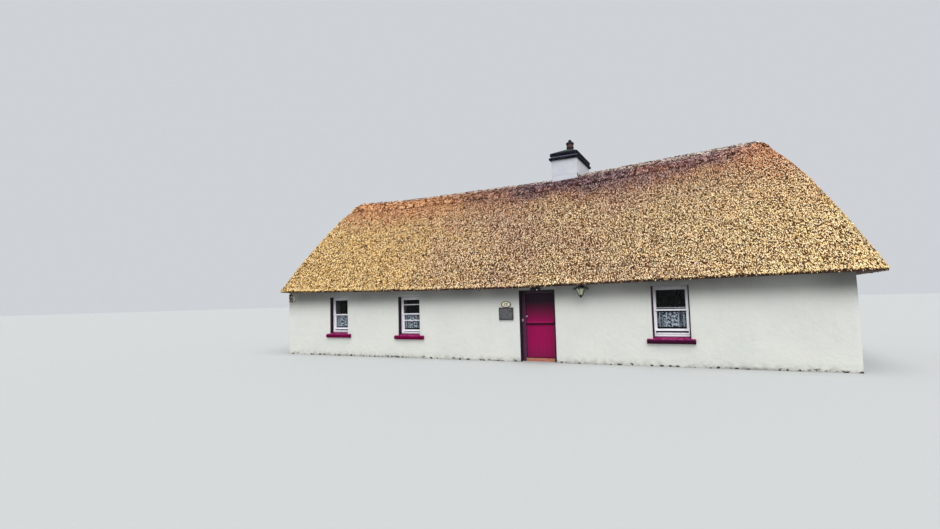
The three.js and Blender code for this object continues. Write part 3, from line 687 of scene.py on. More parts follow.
# %% [markdown]
# Single straws could be hair, but hair has no faces to keep. Here each visible straw end is a small body of
# four triangles: its point is buried up the slope, and its slanting cut lies almost flat on the roof, where
# it catches the light. Straws stand in small tufts, and a tuft has its own tone and height. The front is sown
# densest, as it is looked at most; the back and the left hip get fewer and wider straws, with quieter tones.

# %% Straws on the slopes and hips
ROOT_DEPTH = 0.045
TUFT_LIFT = 0.3
TILT = 0.20
TONE_MIDDLE, TONE_OF_TUFT, TONE_OF_STRAW = 0.52, 0.42, 0.26


def straw_piece(name, spots, cut=0.042, width=0.011, rise=0.014, wander=0.30, tuft=0.024,
                dim=0.0, contrast=1.0):
    """Bodies of four triangles: a buried point, and a cut end `cut` long and 2 * `width` wide that stands
    about `rise` proud of the skin and tilts a little at random. wander is how far, in radians, a straw
    strays from straight down, tuft the size of a tuft, dim darkens all, and contrast says how much tones
    differ. Tufts are the cubes of a fine lattice that the roof cuts through."""
    where, normal, down = spots
    count = len(where)
    turn = RANDOM.normal(0, wander, (count, 1))
    along = down * np.cos(turn) + np.cross(normal, down) * np.sin(turn)
    side = np.cross(normal, along)
    tufts = 2 * scattered(np.floor(where / tuft).astype(np.int64), 9) - 1
    cut, width, rise = (size * RANDOM.uniform(low, high, (count, 1))
                        for size, low, high in ((cut, 0.6, 1.3), (width, 0.6, 1.25), (rise, 0.3, 1.3)))
    middle = where + normal * rise * (1 + TUFT_LIFT * tufts[:, None])
    tilt = RANDOM.normal(0, TILT, (2, count, 1))
    root = where - along * cut * 1.1 - normal * ROOT_DEPTH
    tip = middle + along * cut * 0.6 + normal * cut * (0.05 + tilt[0])
    heel_left = middle - along * cut * 0.4 + side * width + normal * width * tilt[1]
    heel_right = middle - along * cut * 0.4 - side * width - normal * width * tilt[1]
    points = np.stack([root, heel_left, heel_right, tip], 1).reshape(-1, 3)
    pattern = np.array([[3, 1, 2], [0, 1, 3], [0, 3, 2], [0, 2, 1]])
    faces = (np.arange(count)[:, None, None] * 4 + pattern).reshape(-1, 3)
    piece = make_piece(name, (points, [faces]), straw, smooth=False)
    spread = TONE_OF_TUFT * tufts + RANDOM.normal(0, TONE_OF_STRAW, count)
    mark_points(piece, "tone", np.repeat(np.clip(TONE_MIDDLE - dim + contrast * spread, 0, 1), 4))
    mark_points(piece, "butt", np.tile([0.0, 1.0, 1.0, 1.0], count))
    print(name, "straws:", count)


FIRST_ROW = int(RINGS * RIDGE_FADE)
front_skin, back_skin, left_skin, right_skin = (
    part_of(skin, name)[FIRST_ROW:] for name in ("front", "back", "left_hip", "right_hip"))
first, second = (front_skin.shape[1] * third // 3 for third in (1, 2))
straw_piece("straw_front_left", sow(front_skin[:, :first + 1], 30000), tuft=0.036)
straw_piece("straw_front_middle", sow(front_skin[:, first:second + 1], 37000), tuft=0.030)
straw_piece("straw_front_right", sow(front_skin[:, second:], 47000), width=0.010)
straw_piece("straw_back", sow(back_skin, 20000), cut=0.085, width=0.031, dim=0.08, contrast=0.45)
straw_piece("straw_left_hip", sow(left_skin, 8000), cut=0.050, width=0.021, dim=0.08, contrast=0.55)
straw_piece("straw_right_hip", sow(right_skin, 15000))

# %% [markdown]
# Where the thatch ends it is trimmed with a knife, and the cut leaves a dense, straight edge of straw ends
# that hang a little over. It could be a plain strip with a rough finish, but its outline against the wall
# would then be a ruled line. So the same straws are sown on the narrow strip between skin and soffit. Those
# on the cut itself see no sky, so they are dim.

# %% The trimmed eave
edge = np.concatenate([skin[-2:], lip])
edge = np.concatenate([edge, edge[:, :1]], axis=1)
straw_piece("straw_eave_top", sow(edge[:2], 5000), cut=0.050, width=0.012, rise=0.010, wander=0.15)
straw_piece("straw_eave_cut", sow(edge[1:], 5000), cut=0.030, width=0.010, rise=0.004, wander=0.15,
            dim=0.45)

# %% [markdown]
# The ridge is where two slopes meet and rain would run in. It is covered with a saddle of sods and old straw,
# which weathers grey. The saddle is the same formula again, lifted off the skin, with a ragged lower edge.
# Short dull straws grow out of it and run down over its edge, so that no step shows.

# %% The ridge
RIDGE_SHARE = 2 / 12
SADDLE_LIFT, SADDLE_BUMP, EDGE_LIFT, EDGE_DROP = 0.030, 0.006, -0.018, 0.040
ridge_grey, tree, surface = finish("ridge_grey", Roughness=0.95)
colour_by(tree, surface, blend(tree, 1.0, straw_colours(tree), (150, 128, 112), "MULTIPLY"))
relief(tree, surface, grain(tree, 40.0, 4.0, 0.7), 0.03)

band_shares = np.linspace(0, RIDGE_SHARE, 9)
band_skin = outer_sheet(band_shares)
band_normals = normals_of(outer_sheet(band_shares + 0.004))
ragged = 0.5 + 0.5 * noise(band_skin[-1], 0.22, 5)
over = band_skin + band_normals * (SADDLE_LIFT + SADDLE_BUMP * noise(band_skin, 0.3, 6))[..., None]
over[-1] += band_normals[-1] * EDGE_LIFT
over[-1, :, 2] -= EDGE_DROP * ragged
under = band_skin[::-1] + 0.001 * band_normals[::-1]
saddle = ring(np.swapaxes(np.concatenate([over, under]), 0, 1))
weld(make_piece("ridge_saddle", saddle, ridge_grey, stands_for=["thatch_ridge"]))
saddle_top = np.concatenate([over, over[:, :1]], axis=1)
straw_piece("straw_ridge", sow(saddle_top, 20000), cut=0.070, width=0.014, rise=0.008, wander=0.6,
            tuft=0.09, dim=0.08)

# %% [markdown]
# The walls are rubble stone under many coats of limewash. Cutting the openings out of one block would work,
# but it leaves a few huge faces that can't be made uneven. A stack of cells, filled or empty, draws thick
# walls with holes as well: every side of a filled cell that has air beside it becomes a face. Each corner
# point knows which of its eight neighbour cells are stone, so it also knows which way is out.

# %% A shell of cells
def lines(step, *stops):
    """Numbers through all the stops, with even steps of about `step` between them."""
    stops = sorted(set(stops))
    spans = [np.linspace(low, high, max(1, round((high - low) / step)), endpoint=False)
             for low, high in zip(stops, stops[1:])]
    return np.concatenate([*spans, stops[-1:]])


def shell(x, y, z, solid):
    """The outside of a stack of cells. solid(x, y, z) says of a cell's middle whether it is filled.
    Gives the points, the faces, the way out at each point, and each face's way (-3 to 3)."""
    middles = [(line[1:] + line[:-1]) / 2 for line in (x, y, z)]
    filled = np.pad(solid(*np.meshgrid(*middles, indexing="ij")), 1)
    index = np.arange(len(x) * len(y) * len(z)).reshape(len(x), len(y), len(z))
    faces, ways = [], []
    for axis in range(3):
        cells = np.moveaxis(filled, axis, 0)
        before, after = cells[:-1, 1:-1, 1:-1], cells[1:, 1:-1, 1:-1]
        at = np.moveaxis(index, axis, 0)
        quads = np.stack([at[:, :-1, :-1], at[:, 1:, :-1], at[:, 1:, 1:], at[:, :-1, 1:]], -1)
        quads = quads[..., ::-1] if axis == 1 else quads
        for way, found in ((1, quads[before & ~after]), (-1, quads[~before & after][:, ::-1])):
            faces.append(found)
            ways.append(np.full(len(found), way * (axis + 1)))
    out = np.zeros((*index.shape, 3))
    for step in np.ndindex(2, 2, 2):
        i, j, k = step
        here = filled[i:i + len(x), j:j + len(y), k:k + len(z)]
        out -= here[..., None] * (2 * np.array(step) - 1)
    used, faces = np.unique(np.concatenate(faces), return_inverse=True)
    points = np.stack(np.meshgrid(x, y, z, indexing="ij"), -1).reshape(-1, 3)[used]
    return points, faces.reshape(-1, 4), unit(out.reshape(-1, 3)[used]), np.concatenate(ways)


ROUNDING = 0.006


def soften(points, out):
    """Pulls the points on edges and corners in, which rounds them. A point on a flat side stays."""
    return points - out * ROUNDING * (np.abs(out).max(axis=1, keepdims=True) < 0.99)


print("lines of a stack:", lines(0.5, 0, 1.2, 2))

# %% [markdown]
# Doorway and windows are holes in the stack. Each window is a row of heights and widths: its hole, the board
# at its foot, where its two sashes meet, how far the lower sash is pushed up, its glazing bars, its sill and
# its lace. The back windows are not seen, so they are two plain ones, shut.

# %% Openings
THICK = 0.550
DOORWAY = {"left": 8.860, "right": 9.900, "head": 2.000}
WINDOWS = {
    "window_1": {"left": 1.920, "right": 2.680, "head": 1.970, "seat": 0.778, "board": 0.056,
                 "meeting": 1.375, "raised": 0.042, "bars": (), "sill": (1.800, 2.835),
                 "lace": (0.950, 1.342)},
    "window_2": {"left": 4.745, "right": 5.537, "head": 1.925, "seat": 0.750, "board": 0.048,
                 "meeting": 1.372, "raised": 0.022, "bars": (1.667, 1.166), "sill": (4.620, 5.700),
                 "lace": (0.902, 1.337)},
    "window_3": {"left": 12.398, "right": 13.278, "head": 2.005, "seat": 0.732, "board": 0.090,
                 "meeting": 1.395, "raised": 0.046, "bars": (), "sill": (12.260, 13.380),
                 "lace": (0.950, 1.342), "top_bar": True},
}
for number, left in ((1, 3.900), (2, 11.900)):
    WINDOWS[f"back_window_{number}"] = {
        "left": left, "right": left + 0.800, "head": 1.970, "seat": 0.778, "board": 0.056, "meeting": 1.375,
        "raised": -0.004, "bars": (), "sill": (left - 0.120, left + 0.920)}
SILL_FALL = 0.068


def inside(value, low, high):
    """Whether numbers lie between two others."""
    return (value > low) & (value < high)


def is_wall(x, y, z):
    """Whether a place lies in the stone of the four walls."""
    stone = ~(inside(x, THICK, LENGTH - THICK) & inside(y, THICK, DEPTH - THICK))
    stone &= ~(inside(x, DOORWAY["left"], DOORWAY["right"]) & (y < THICK) & (z < DOORWAY["head"]))
    for name, opening in WINDOWS.items():
        side = y > DEPTH / 2 if name.startswith("back") else y < DEPTH / 2
        stone &= ~(side & inside(x, opening["left"], opening["right"])
                   & inside(z, opening["seat"] - SILL_FALL, opening["head"]))
    return stone


print("openings:", ", ".join(WINDOWS), "and the doorway")

# %% [markdown]
# Limewash is chalky and never one colour: warm and cool coats show in clouds, water leaves faint runs, rain
# splashes mud on the foot and breaks chips off it, and under the eave shade is painted in, darker towards the
# top. At the left corner it has come off, and the rubble shows. Painted pictures could carry all this, but
# noise and height, which depend only on the place, run round a corner without a seam.

# %% Limewash
def eave_shade(tree, colour):
    """Painted shade: darkens a colour towards the eave, as the overhang shades what lies below it."""
    height = between(tree, axes(tree)[2], 1.3, 2.0)
    dark = ramp(tree, height, (0.0, 255, 255, 255), (0.28, 246, 246, 246), (0.42, 234, 234, 234),
                (0.57, 212, 212, 212), (0.72, 182, 182, 181), (0.86, 152, 152, 151), (1.0, 138, 138, 138))
    strength = between(tree, grain(tree, 0.5), 0.35, 0.65, 0.75, 1.0)
    return blend(tree, strength, colour, dark, "MULTIPLY")


limewash, tree, surface = finish("limewash", Roughness=0.9)
x, y, z = axes(tree)
clouds = between(tree, grain(tree, 1.3, 4.0, 0.6), 0.3, 0.7)
coats = blend(tree, clouds, (222, 220, 213), (213, 215, 208))
trickle = between(tree, grain(tree, 3.0, 4.0, 0.65, (3, 3, 0.6)), 0.56, 0.74)
# The runs are real stains; eave_shade paints the shade under the eave over them.
runs_and_painted_shade = eave_shade(tree, blend(tree, times(tree, trickle, 0.10), coats, (150, 156, 138)))
low_down = between(tree, z, 0.02, 0.20, 0.5, 0.0)
splash = times(tree, low_down, between(tree, grain(tree, 7.0, 3.0), 0.4, 0.66))
splashed = blend(tree, splash, runs_and_painted_shade, (146, 138, 120))
at_foot = between(tree, sums(tree, "MULTIPLY_ADD", grain(tree, 2.0), -0.16, z), -0.05, -0.02, 1.0, 0.0)
chips = times(tree, at_foot, between(tree, grain(tree, 8.0, 3.0), 0.53, 0.57))
chipped = blend(tree, chips, splashed, (62, 54, 50))
from_corner = sums(tree, "SUBTRACT", sums(tree, "ADD", x, sums(tree, "ABSOLUTE", y)), 0.36)
ragged = sums(tree, "MULTIPLY_ADD", grain(tree, 5.0, 3.0), 0.16, from_corner)
rubble = ramp(tree, grain(tree, 11.0, 3.0), (0.40, 66, 58, 52), (0.58, 190, 184, 166))
at_stones = times(tree, between(tree, ragged, -0.01, 0.01, 1.0, 0.0), between(tree, z, 1.82, 1.86))
colour_by(tree, surface, blend(tree, at_stones, chipped, rubble))
relief(tree, surface, grain(tree, 7.0, 5.0, 0.6), 0.012)
print("nodes in the limewash:", len(tree.nodes))

# %% [markdown]
# The stack of cells becomes the walls. Its lines are close together beside each edge, which keeps the edges
# crisp. Plaster is pushed out and in by noise in three sizes, and corners are pulled in, as if rounded by
# hand. Only the outside moves: joinery sits against the holes. Reveals are painted dark, and the limewash of
# the room inside is painted dark as its shade.

# %% The walls
ARRIS, REVEAL, DOOR_REVEAL = 0.015, 0.140, 0.240
PLASTER_DEPTH = 0.004
CELL, CELL_Y = 0.085, 0.14
NEAR_ZERO, MARGIN = 0.001, 0.01

reveal_paint = finish("reveal_paint", (44, 22, 38), Roughness=0.6)[0]
# Painted shade: the room's walls are darkened, as its small windows leave it dim.
room_shade_limewash, tree, surface = finish("room_shade_limewash", Roughness=0.95)
colour_by(tree, surface, ramp(tree, grain(tree, 1.0, 4.0), (0.3, 78, 72, 64), (0.7, 104, 98, 88)))

edges_x = [edge + shift for hole in (*WINDOWS.values(), DOORWAY) for edge in (hole["left"], hole["right"])
           for shift in (-ARRIS, 0, ARRIS)]
edges_z = [edge for hole in WINDOWS.values() for edge in (hole["seat"] - SILL_FALL, hole["head"])]
wall_x = lines(CELL, 0, ARRIS, THICK, LENGTH - THICK, LENGTH - ARRIS, LENGTH, *edges_x)
wall_y = lines(CELL_Y, 0, ARRIS, DOOR_REVEAL, THICK, DEPTH - THICK, DEPTH - DOOR_REVEAL, DEPTH - ARRIS,
               DEPTH)
wall_z = lines(CELL, 0, WALL_HEAD, DOORWAY["head"], *edges_z)
points, faces, out, ways = shell(wall_x, wall_y, wall_z, is_wall)
outside = ~(inside(points[:, 0], NEAR_ZERO, LENGTH - NEAR_ZERO)
            & inside(points[:, 1], NEAR_ZERO, DEPTH - NEAR_ZERO))
bumps = 0.006 * noise(points, 1.2, 11) + 0.004 * noise(points, 0.35, 12) + 0.002 * noise(points, 0.12, 13)
points = soften(points, out) + out * ((bumps - PLASTER_DEPTH) * outside)[:, None]
centre_x, centre_y, _ = points[faces].mean(axis=1).T
deep = inside(centre_y, ARRIS, DOOR_REVEAL) | inside(DEPTH - centre_y, ARRIS, REVEAL)
dark_reveal = (np.abs(ways) == 1) & deep & inside(centre_x, 10 * MARGIN, LENGTH - 10 * MARGIN)
in_room = inside(centre_x, THICK - MARGIN, LENGTH - THICK + MARGIN)
in_room &= inside(centre_y, THICK - MARGIN, DEPTH - THICK + MARGIN)
make_piece("limewashed_walls", (points, [faces]), [limewash, reveal_paint, room_shade_limewash],
           which=dark_reveal + 2 * in_room,
           stands_for=["front_wall_left", "front_wall_over_door", "front_wall_right", "back_wall",
                       "left_end_wall", "right_end_wall"])
print("wall faces:", len(faces))

earth, tree, surface = finish("earth_floor", Roughness=0.95)
colour_by(tree, surface, ramp(tree, grain(tree, 3.0, 5.0), (0.3, 84, 76, 66), (0.7, 112, 102, 90)))
repaint(earth, "floor")

# %% [markdown]
# The chimney stack is plastered like the walls. A block with its edges cut would look sawn, so it is a stack
# of cells too, with all its cells filled, and is rounded and dented as the walls are. A faint line runs
# round it where the old plaster ends, low down beside the thatch: a shallow groove in the mesh, and a thin
# grey line in the finish. Below the line the right corner has a few dark flecks.

# %% Chimney stack
STACK = {"left": 9.120, "right": 9.990, "front": 2.800, "back": 4.550, "top": 6.390}
STACK_FOOT, THATCH_LEVEL = 0.1004, 5.2
STACK_CELL = 0.06
LINE_HEIGHT, LINE_WIDTH = 5.86, 0.012

stack_x = lines(STACK_CELL, STACK["left"], STACK["left"] + ARRIS, STACK["right"] - ARRIS, STACK["right"])
stack_y = lines(STACK_CELL, STACK["front"], STACK["front"] + ARRIS, STACK["back"] - ARRIS, STACK["back"])
stack_z = np.concatenate([[STACK_FOOT], lines(STACK_CELL, THATCH_LEVEL, STACK["top"])])
points, faces, out, _ = shell(stack_x, stack_y, stack_z, lambda x, y, z: x > 0)
over_line = points[:, 2] - LINE_HEIGHT - 0.015 * noise(points, 0.2, 15)
groove = 0.006 * np.exp(-(over_line / LINE_WIDTH) ** 2)
bumps = 0.006 * noise(points, 0.4, 14) + 0.003 * noise(points, 0.13, 16) - groove
stack_plaster, tree, surface = finish("stack_plaster", Roughness=0.9)
x, _, z = axes(tree)
clouds = between(tree, grain(tree, 3.0, 4.0, 0.6), 0.3, 0.7)
plaster = blend(tree, clouds, (206, 208, 209), (196, 198, 210))
line = near(tree, sums(tree, "MULTIPLY_ADD", grain(tree, 5.0, 3.0), -0.05, z), 5.835, 0.007)
lined = blend(tree, times(tree, line, 0.35), plaster, (130, 134, 136))
foot = times(tree, between(tree, z, 5.86, 5.89, 1.0, 0.0), between(tree, x, 9.972, 9.980))
flecks = times(tree, foot, between(tree, grain(tree, 9.0, 2.0), 0.52, 0.56))
colour_by(tree, surface, blend(tree, flecks, lined, (34, 34, 34)))
relief(tree, surface, grain(tree, 9.0, 5.0, 0.6), 0.012)
points = soften(points, out) + out * bumps[:, None]
make_piece("plastered_stack", (points, [faces]), stack_plaster,
           stands_for=["chimney_stack"])
print("stack faces:", len(faces))

# %% [markdown]
# Its cap is two courses of dark stone slabs with a light joint between them, and on top a skirt of mortar
# that slopes up to the pot and throws the rain off. Stacked boxes would leave sharp edges and gaps, so cap
# and skirt are one body: a rectangle with round corners, carried upwards while its size changes. A step is a
# height, how far the rectangle stands out past the stack, and how much of its plan is no longer the stack's
# own but the small round one under the pot.

# %% Chimney cap
MORTAR_TOP = 6.880
CAP_STEPS = [
    (6.3905, -0.030, 0), (6.392, 0.052, 0), (6.405, 0.066, 0), (6.440, 0.068, 0), (6.464, 0.060, 0),
    (6.476, 0.042, 0), (6.482, 0.008, 0), (6.510, 0.006, 0), (6.518, 0.026, 0), (6.540, 0.036, 0),
    (6.585, 0.038, 0), (6.620, 0.032, 0), (6.636, 0.012, 0.01), (6.680, 0.000, 0.16), (6.726, -0.004, 0.34),
    (6.770, -0.004, 0.52), (6.812, -0.002, 0.69), (6.850, 0.000, 0.85), (MORTAR_TOP, 0.000, 1.0),
]
TOP_HALF_X, TOP_HALF_Y, TOP_RADIUS, SLAB_RADIUS = 0.150, 0.270, 0.149, 0.012


def round_rectangle(half_x, half_y, radius, count=24):
    """A rectangle with round corners about 0, as 4 * count points. Each corner is a quarter circle."""
    turn = (np.arange(count) + 0.5) / count * math.pi / 2
    quarters = []
    for k, (sign_x, sign_y) in enumerate(((1, 1), (-1, 1), (-1, -1), (1, -1))):
        bend = turn + k * math.pi / 2
        quarters.append(np.column_stack([sign_x * (half_x - radius) + radius * np.cos(bend),
                                         sign_y * (half_y - radius) + radius * np.sin(bend)]))
    return np.concatenate(quarters)


half_x = (STACK["right"] - STACK["left"]) / 2
half_y = (STACK["back"] - STACK["front"]) / 2
loops = []
for height, grow, round_share in CAP_STEPS:
    wide = mix(half_x + grow, TOP_HALF_X, round_share)
    deep = mix(half_y + grow, TOP_HALF_Y, round_share)
    plan = round_rectangle(wide, deep, mix(SLAB_RADIUS, TOP_RADIUS, round_share))
    loops.append(np.column_stack([plan, np.full(len(plan), height)]))
loops = np.array(loops) + ((STACK["left"] + STACK["right"]) / 2, (STACK["front"] + STACK["back"]) / 2, 0)
rough = 0.010 * noise(loops, 0.16, 17) + 0.006 * noise(loops, 0.06, 18)
sideways = unit(loops[..., :2] - loops[..., :2].mean(axis=1, keepdims=True))
loops[1:-1, :, :2] += (sideways * rough[..., None])[1:-1]

cap_stone, tree, surface = finish("cap_stone", Roughness=0.85, Specular_IOR_Level=0.08)
z = axes(tree)[2]
stones = ramp(tree, grain(tree, 9.0, 4.0, 0.6), (0.3, 12, 13, 18), (0.55, 24, 26, 34), (0.75, 60, 64, 74))
joint = near(tree, z, 6.497, 0.018)
skirt = between(tree, z, 6.64, 6.67)
jointed = blend(tree, joint, stones, (118, 126, 138))
mortar = blend(tree, grain(tree, 16.0, 4.0), (26, 30, 32), (66, 72, 72))
colour_by(tree, surface, blend(tree, skirt, jointed, mortar))
relief(tree, surface, grain(tree, 22.0, 5.0, 0.65), 0.02)
make_piece("cap_courses", loft(loops), cap_stone, stands_for=["chimney_cap"])
print("cap:", loops.shape[0], "steps of", loops.shape[1], "points")

# %% [markdown]
# Pot, cowl, stones and screws are turned: a profile of radius and height goes once round an axis. The spin
# tool does the same, but its seam has to be closed afterwards. Wires and hooks are round rods along a path
# of points. Both are grids again, closed from the start.

# %% Turned pieces and rods
def turned(profile, centre, sides=32, closed=False, way="z"):
    """A profile of (radius, height) turned about an axis through centre: ends get a lid unless closed."""
    radius, height = np.array(profile).T[:, :, None]
    angle = np.arange(sides) / sides * 2 * math.pi
    flat = [radius * np.cos(angle), radius * np.sin(angle), height + 0 * angle]
    order = {"z": (0, 1, 2), "y": (0, 2, 1)}[way]
    loops = np.stack([flat[k] for k in order], -1) + centre
    return ring(loops) if closed else loft(loops)


def tube(path, radius, sides=8):
    """A round rod along a path of points; radius is one number or one for each point."""
    path = np.asarray(path, float)
    along = unit(np.gradient(path, axis=0))
    side = unit(np.cross(along, (0.31, 0.90, 0.28)))
    angle = np.arange(sides)[None, :, None] / sides * 2 * math.pi
    round_it = np.cos(angle) * side[:, None] + np.sin(angle) * np.cross(along, side)[:, None]
    return loft(path[:, None] + np.broadcast_to(radius, len(path))[:, None, None] * round_it)


print("points of a short rod:", len(tube([(0, 0, 0), (0, 0, 1)], 0.01)[0]))

# %% [markdown]
# High on the left corner the limewash has come off, and the rubble of the wall looks out. Each stone could
# be sculpted, but only a hand's width of it shows. So a rubble stone is a ball with its sides pushed out
# towards a box, dented by noise, and bedded so deep that only its face shows.

# %% Bare stones
FIRST_STONE_SEED = 40
BARE_STONES = [
    ((0.050, 0.030, 2.078), (0.070, 0.062, 0.034)), ((0.165, 0.014, 2.066), (0.056, 0.034, 0.040)),
    ((0.036, 0.036, 2.004), (0.052, 0.064, 0.034)), ((0.130, 0.014, 1.986), (0.042, 0.034, 0.030)),
    ((0.222, 0.012, 1.996), (0.040, 0.030, 0.024)), ((0.066, 0.022, 1.934), (0.086, 0.046, 0.026)),
    ((0.190, 0.012, 1.928), (0.034, 0.030, 0.030)), ((0.030, 0.024, 1.872), (0.046, 0.044, 0.026)),
    ((0.118, 0.012, 1.868), (0.038, 0.030, 0.024)), ((0.012, 0.150, 2.040), (0.030, 0.080, 0.040)),
    ((0.010, 0.160, 1.945), (0.026, 0.070, 0.038)),
]


def rough_stone(centre, half, seed):
    """A block of three half sizes with round edges: radius and height both follow roots of a circle."""
    bend = np.linspace(-0.5, 0.5, 9) * math.pi
    height = np.sign(bend) * np.abs(np.sin(bend)) ** 0.6
    points, faces = turned(np.column_stack([np.abs(np.cos(bend)) ** 0.5 + 0.02, height]), (0, 0, 0), 14)
    return points * half * (1 + 0.20 * noise(points, 0.7, seed))[:, None] + centre, faces


bare_stone, tree, surface = finish("bare_stone", Roughness=0.9)
fine = times(tree, grain(tree, 22.0, 4.0), 0.4)
speckle = sums(tree, "MULTIPLY_ADD", grain(tree, 7.0, 2.0), 0.6, fine)
colour_by(tree, surface, ramp(tree, speckle, (0.40, 44, 38, 36), (0.5, 118, 108, 100), (0.60, 222, 216, 204)))
relief(tree, surface, grain(tree, 40.0, 5.0, 0.65), 0.01)
stones = [rough_stone(np.array(centre), np.array(half), seed)
          for seed, (centre, half) in enumerate(BARE_STONES, FIRST_STONE_SEED)]
make_piece("bare_stones", joined(*stones), bare_stone)
print("bare stones:", len(stones))

# %% [markdown]
# The pot is a plain clay tube with a belt round its middle and a thick rim, blackened by smoke. Over it sits
# a small tin hat on three legs, which lets the smoke out and keeps the rain off the fire. Pot and hat are
# turned, and their profiles come back along the inside, so both are hollow. The legs are rods.

# %% Pot and cowl
POT_X, POT_Y, POT_TOP = 9.555, 3.675, 7.187
POT_PROFILE = [
    (0.112, 6.8810), (0.116, 6.900), (0.118, 6.985), (0.128, 6.992), (0.130, 7.004), (0.128, 7.016),
    (0.118, 7.022), (0.118, 7.105), (0.130, 7.118), (0.135, 7.132), (0.135, 7.168), (0.128, 7.184),
    (0.112, POT_TOP), (0.096, 7.184), (0.088, 7.172), (0.088, 6.900), (0.090, 6.8810),
]
pot_clay, tree, surface = finish("pot_clay", Roughness=0.8, Specular_IOR_Level=0.15)
z = axes(tree)[2]
clay = ramp(tree, grain(tree, 14.0, 4.0), (0.3, 52, 40, 40), (0.6, 88, 68, 66), (0.8, 116, 98, 98))
sooty = between(tree, z, 7.10, 7.13, 0.0, 0.85)
belt = times(tree, near(tree, z, 7.004, 0.016), 0.7)
colour_by(tree, surface, blend(tree, sums(tree, "MAXIMUM", sooty, belt), clay, (26, 22, 24)))
make_piece("clay_pot", turned(POT_PROFILE, (POT_X, POT_Y, 0), 40, closed=True), pot_clay,
           stands_for=["chimney_pot"])

dark_iron, tree, surface = finish("dark_iron", Roughness=0.5, Metallic=0.4)
colour_by(tree, surface, ramp(tree, grain(tree, 30.0, 4.0), (0.35, 22, 22, 24), (0.7, 46, 44, 46)))
HAT_PROFILE = [(0.066, 7.242), (0.068, 7.246), (0.034, 7.284), (0.010, 7.304), (0.003, 7.308),
               (0.002, 7.304), (0.030, 7.278), (0.062, 7.245)]
LEG_STEPS = [(0.098, 7.160), (0.096, 7.200), (0.058, 7.252)]
LEG_RADIUS = 0.004
hat = turned(HAT_PROFILE, (POT_X, POT_Y, 0), 32, closed=True)
legs = [tube([(POT_X + reach * math.cos(turn), POT_Y + reach * math.sin(turn), height)
              for reach, height in LEG_STEPS], LEG_RADIUS) for turn in np.arange(3) / 3 * 2 * math.pi + 0.5]
make_piece("cowl_hat", joined(hat, *legs), dark_iron, stands_for=["chimney_cowl"])
print("pot and cowl reach", POT_TOP, "and", max(height for _, height in HAT_PROFILE), "m")

# %% [markdown]
# A sash window is a set of frames, one inside the other, and each frame is a moulding that meets itself in
# four mitred corners. A box for each rail would be simpler, but the light on the slopes of a moulding is
# what makes joinery look like joinery. So one helper makes all frames: a closed profile carried round a
# rectangle. Where the profile sits between the outer and the inner rectangle is given as a share.

# %% Frames and bars
FRAME_FACE, FRAME_DEEP, SASH_FACE, SASH_DEEP, RAIL, MEETING = 0.055, 0.110, 0.045, 0.038, 0.055, 0.042
BAR, BAR_NOSE = 0.034, 0.008


def moulding(outer, inner, profile):
    """A frame between two rectangles (left, right, low, high). profile: (share inwards, depth y), closed."""
    share, depth = np.array(profile).T
    loops = [np.column_stack([mix(outer[a], inner[a], share), depth, mix(outer[b], inner[b], share)])
             for a, b in ((0, 2), (1, 2), (1, 3), (0, 3))]
    return ring(np.array(loops))


def rail_along(x0, x1, section_yz):
    """A bar along x with a closed section of (y, z) points."""
    section_yz = np.array(section_yz)
    loops = [np.column_stack([np.full(len(section_yz), x), section_yz]) for x in (x0, x1)]
    return loft(np.array(loops))


def sash_frame(left, right, low, high, y, low_rail, high_rail, bars):
    """A sliding sash: square outside, with a sloping edge towards the glass. Bars share its section."""
    outer = (left, right, low, high)
    inner = (left + SASH_FACE, right - SASH_FACE, low + low_rail, high - high_rail)
    back = y + SASH_DEEP
    bodies = [moulding(outer, inner, [
        (0, y + 0.002), (0.05, y), (0.62, y), (0.70, y + 0.004), (0.98, y + 0.016), (1, y + 0.018), (1, back),
        (0, back)])]
    half = BAR / 2
    for height in bars:
        bodies.append(rail_along(inner[0] - 0.01, inner[1] + 0.01, [
            (y + 0.004, height - BAR_NOSE), (y + 0.004, height + BAR_NOSE), (y + 0.020, height + half),
            (back - 0.001, height + half), (back - 0.001, height - half), (y + 0.020, height - half)]))
    return bodies


print("a sash without bars:", len(sash_frame(0, 1, 0, 1, 0, RAIL, RAIL, ())), "body")

# %% [markdown]
# The casing is nailed into the hole and has a bead that keeps the sashes in. A board with a rounded nose lies
# at its foot. The upper sash hangs in front, the lower one slides behind it, and their meeting rails overlap.
# A window in the back wall is the same window, turned round.

# %% A whole window
CLEAR = 0.001
SASH_LAP = 0.004
NOSE_INSET = 0.038
UPPER_SASH_Y = REVEAL + 0.014
LOWER_SASH_Y = UPPER_SASH_Y + SASH_DEEP - CLEAR
TOP_BAR_GAP = 0.022


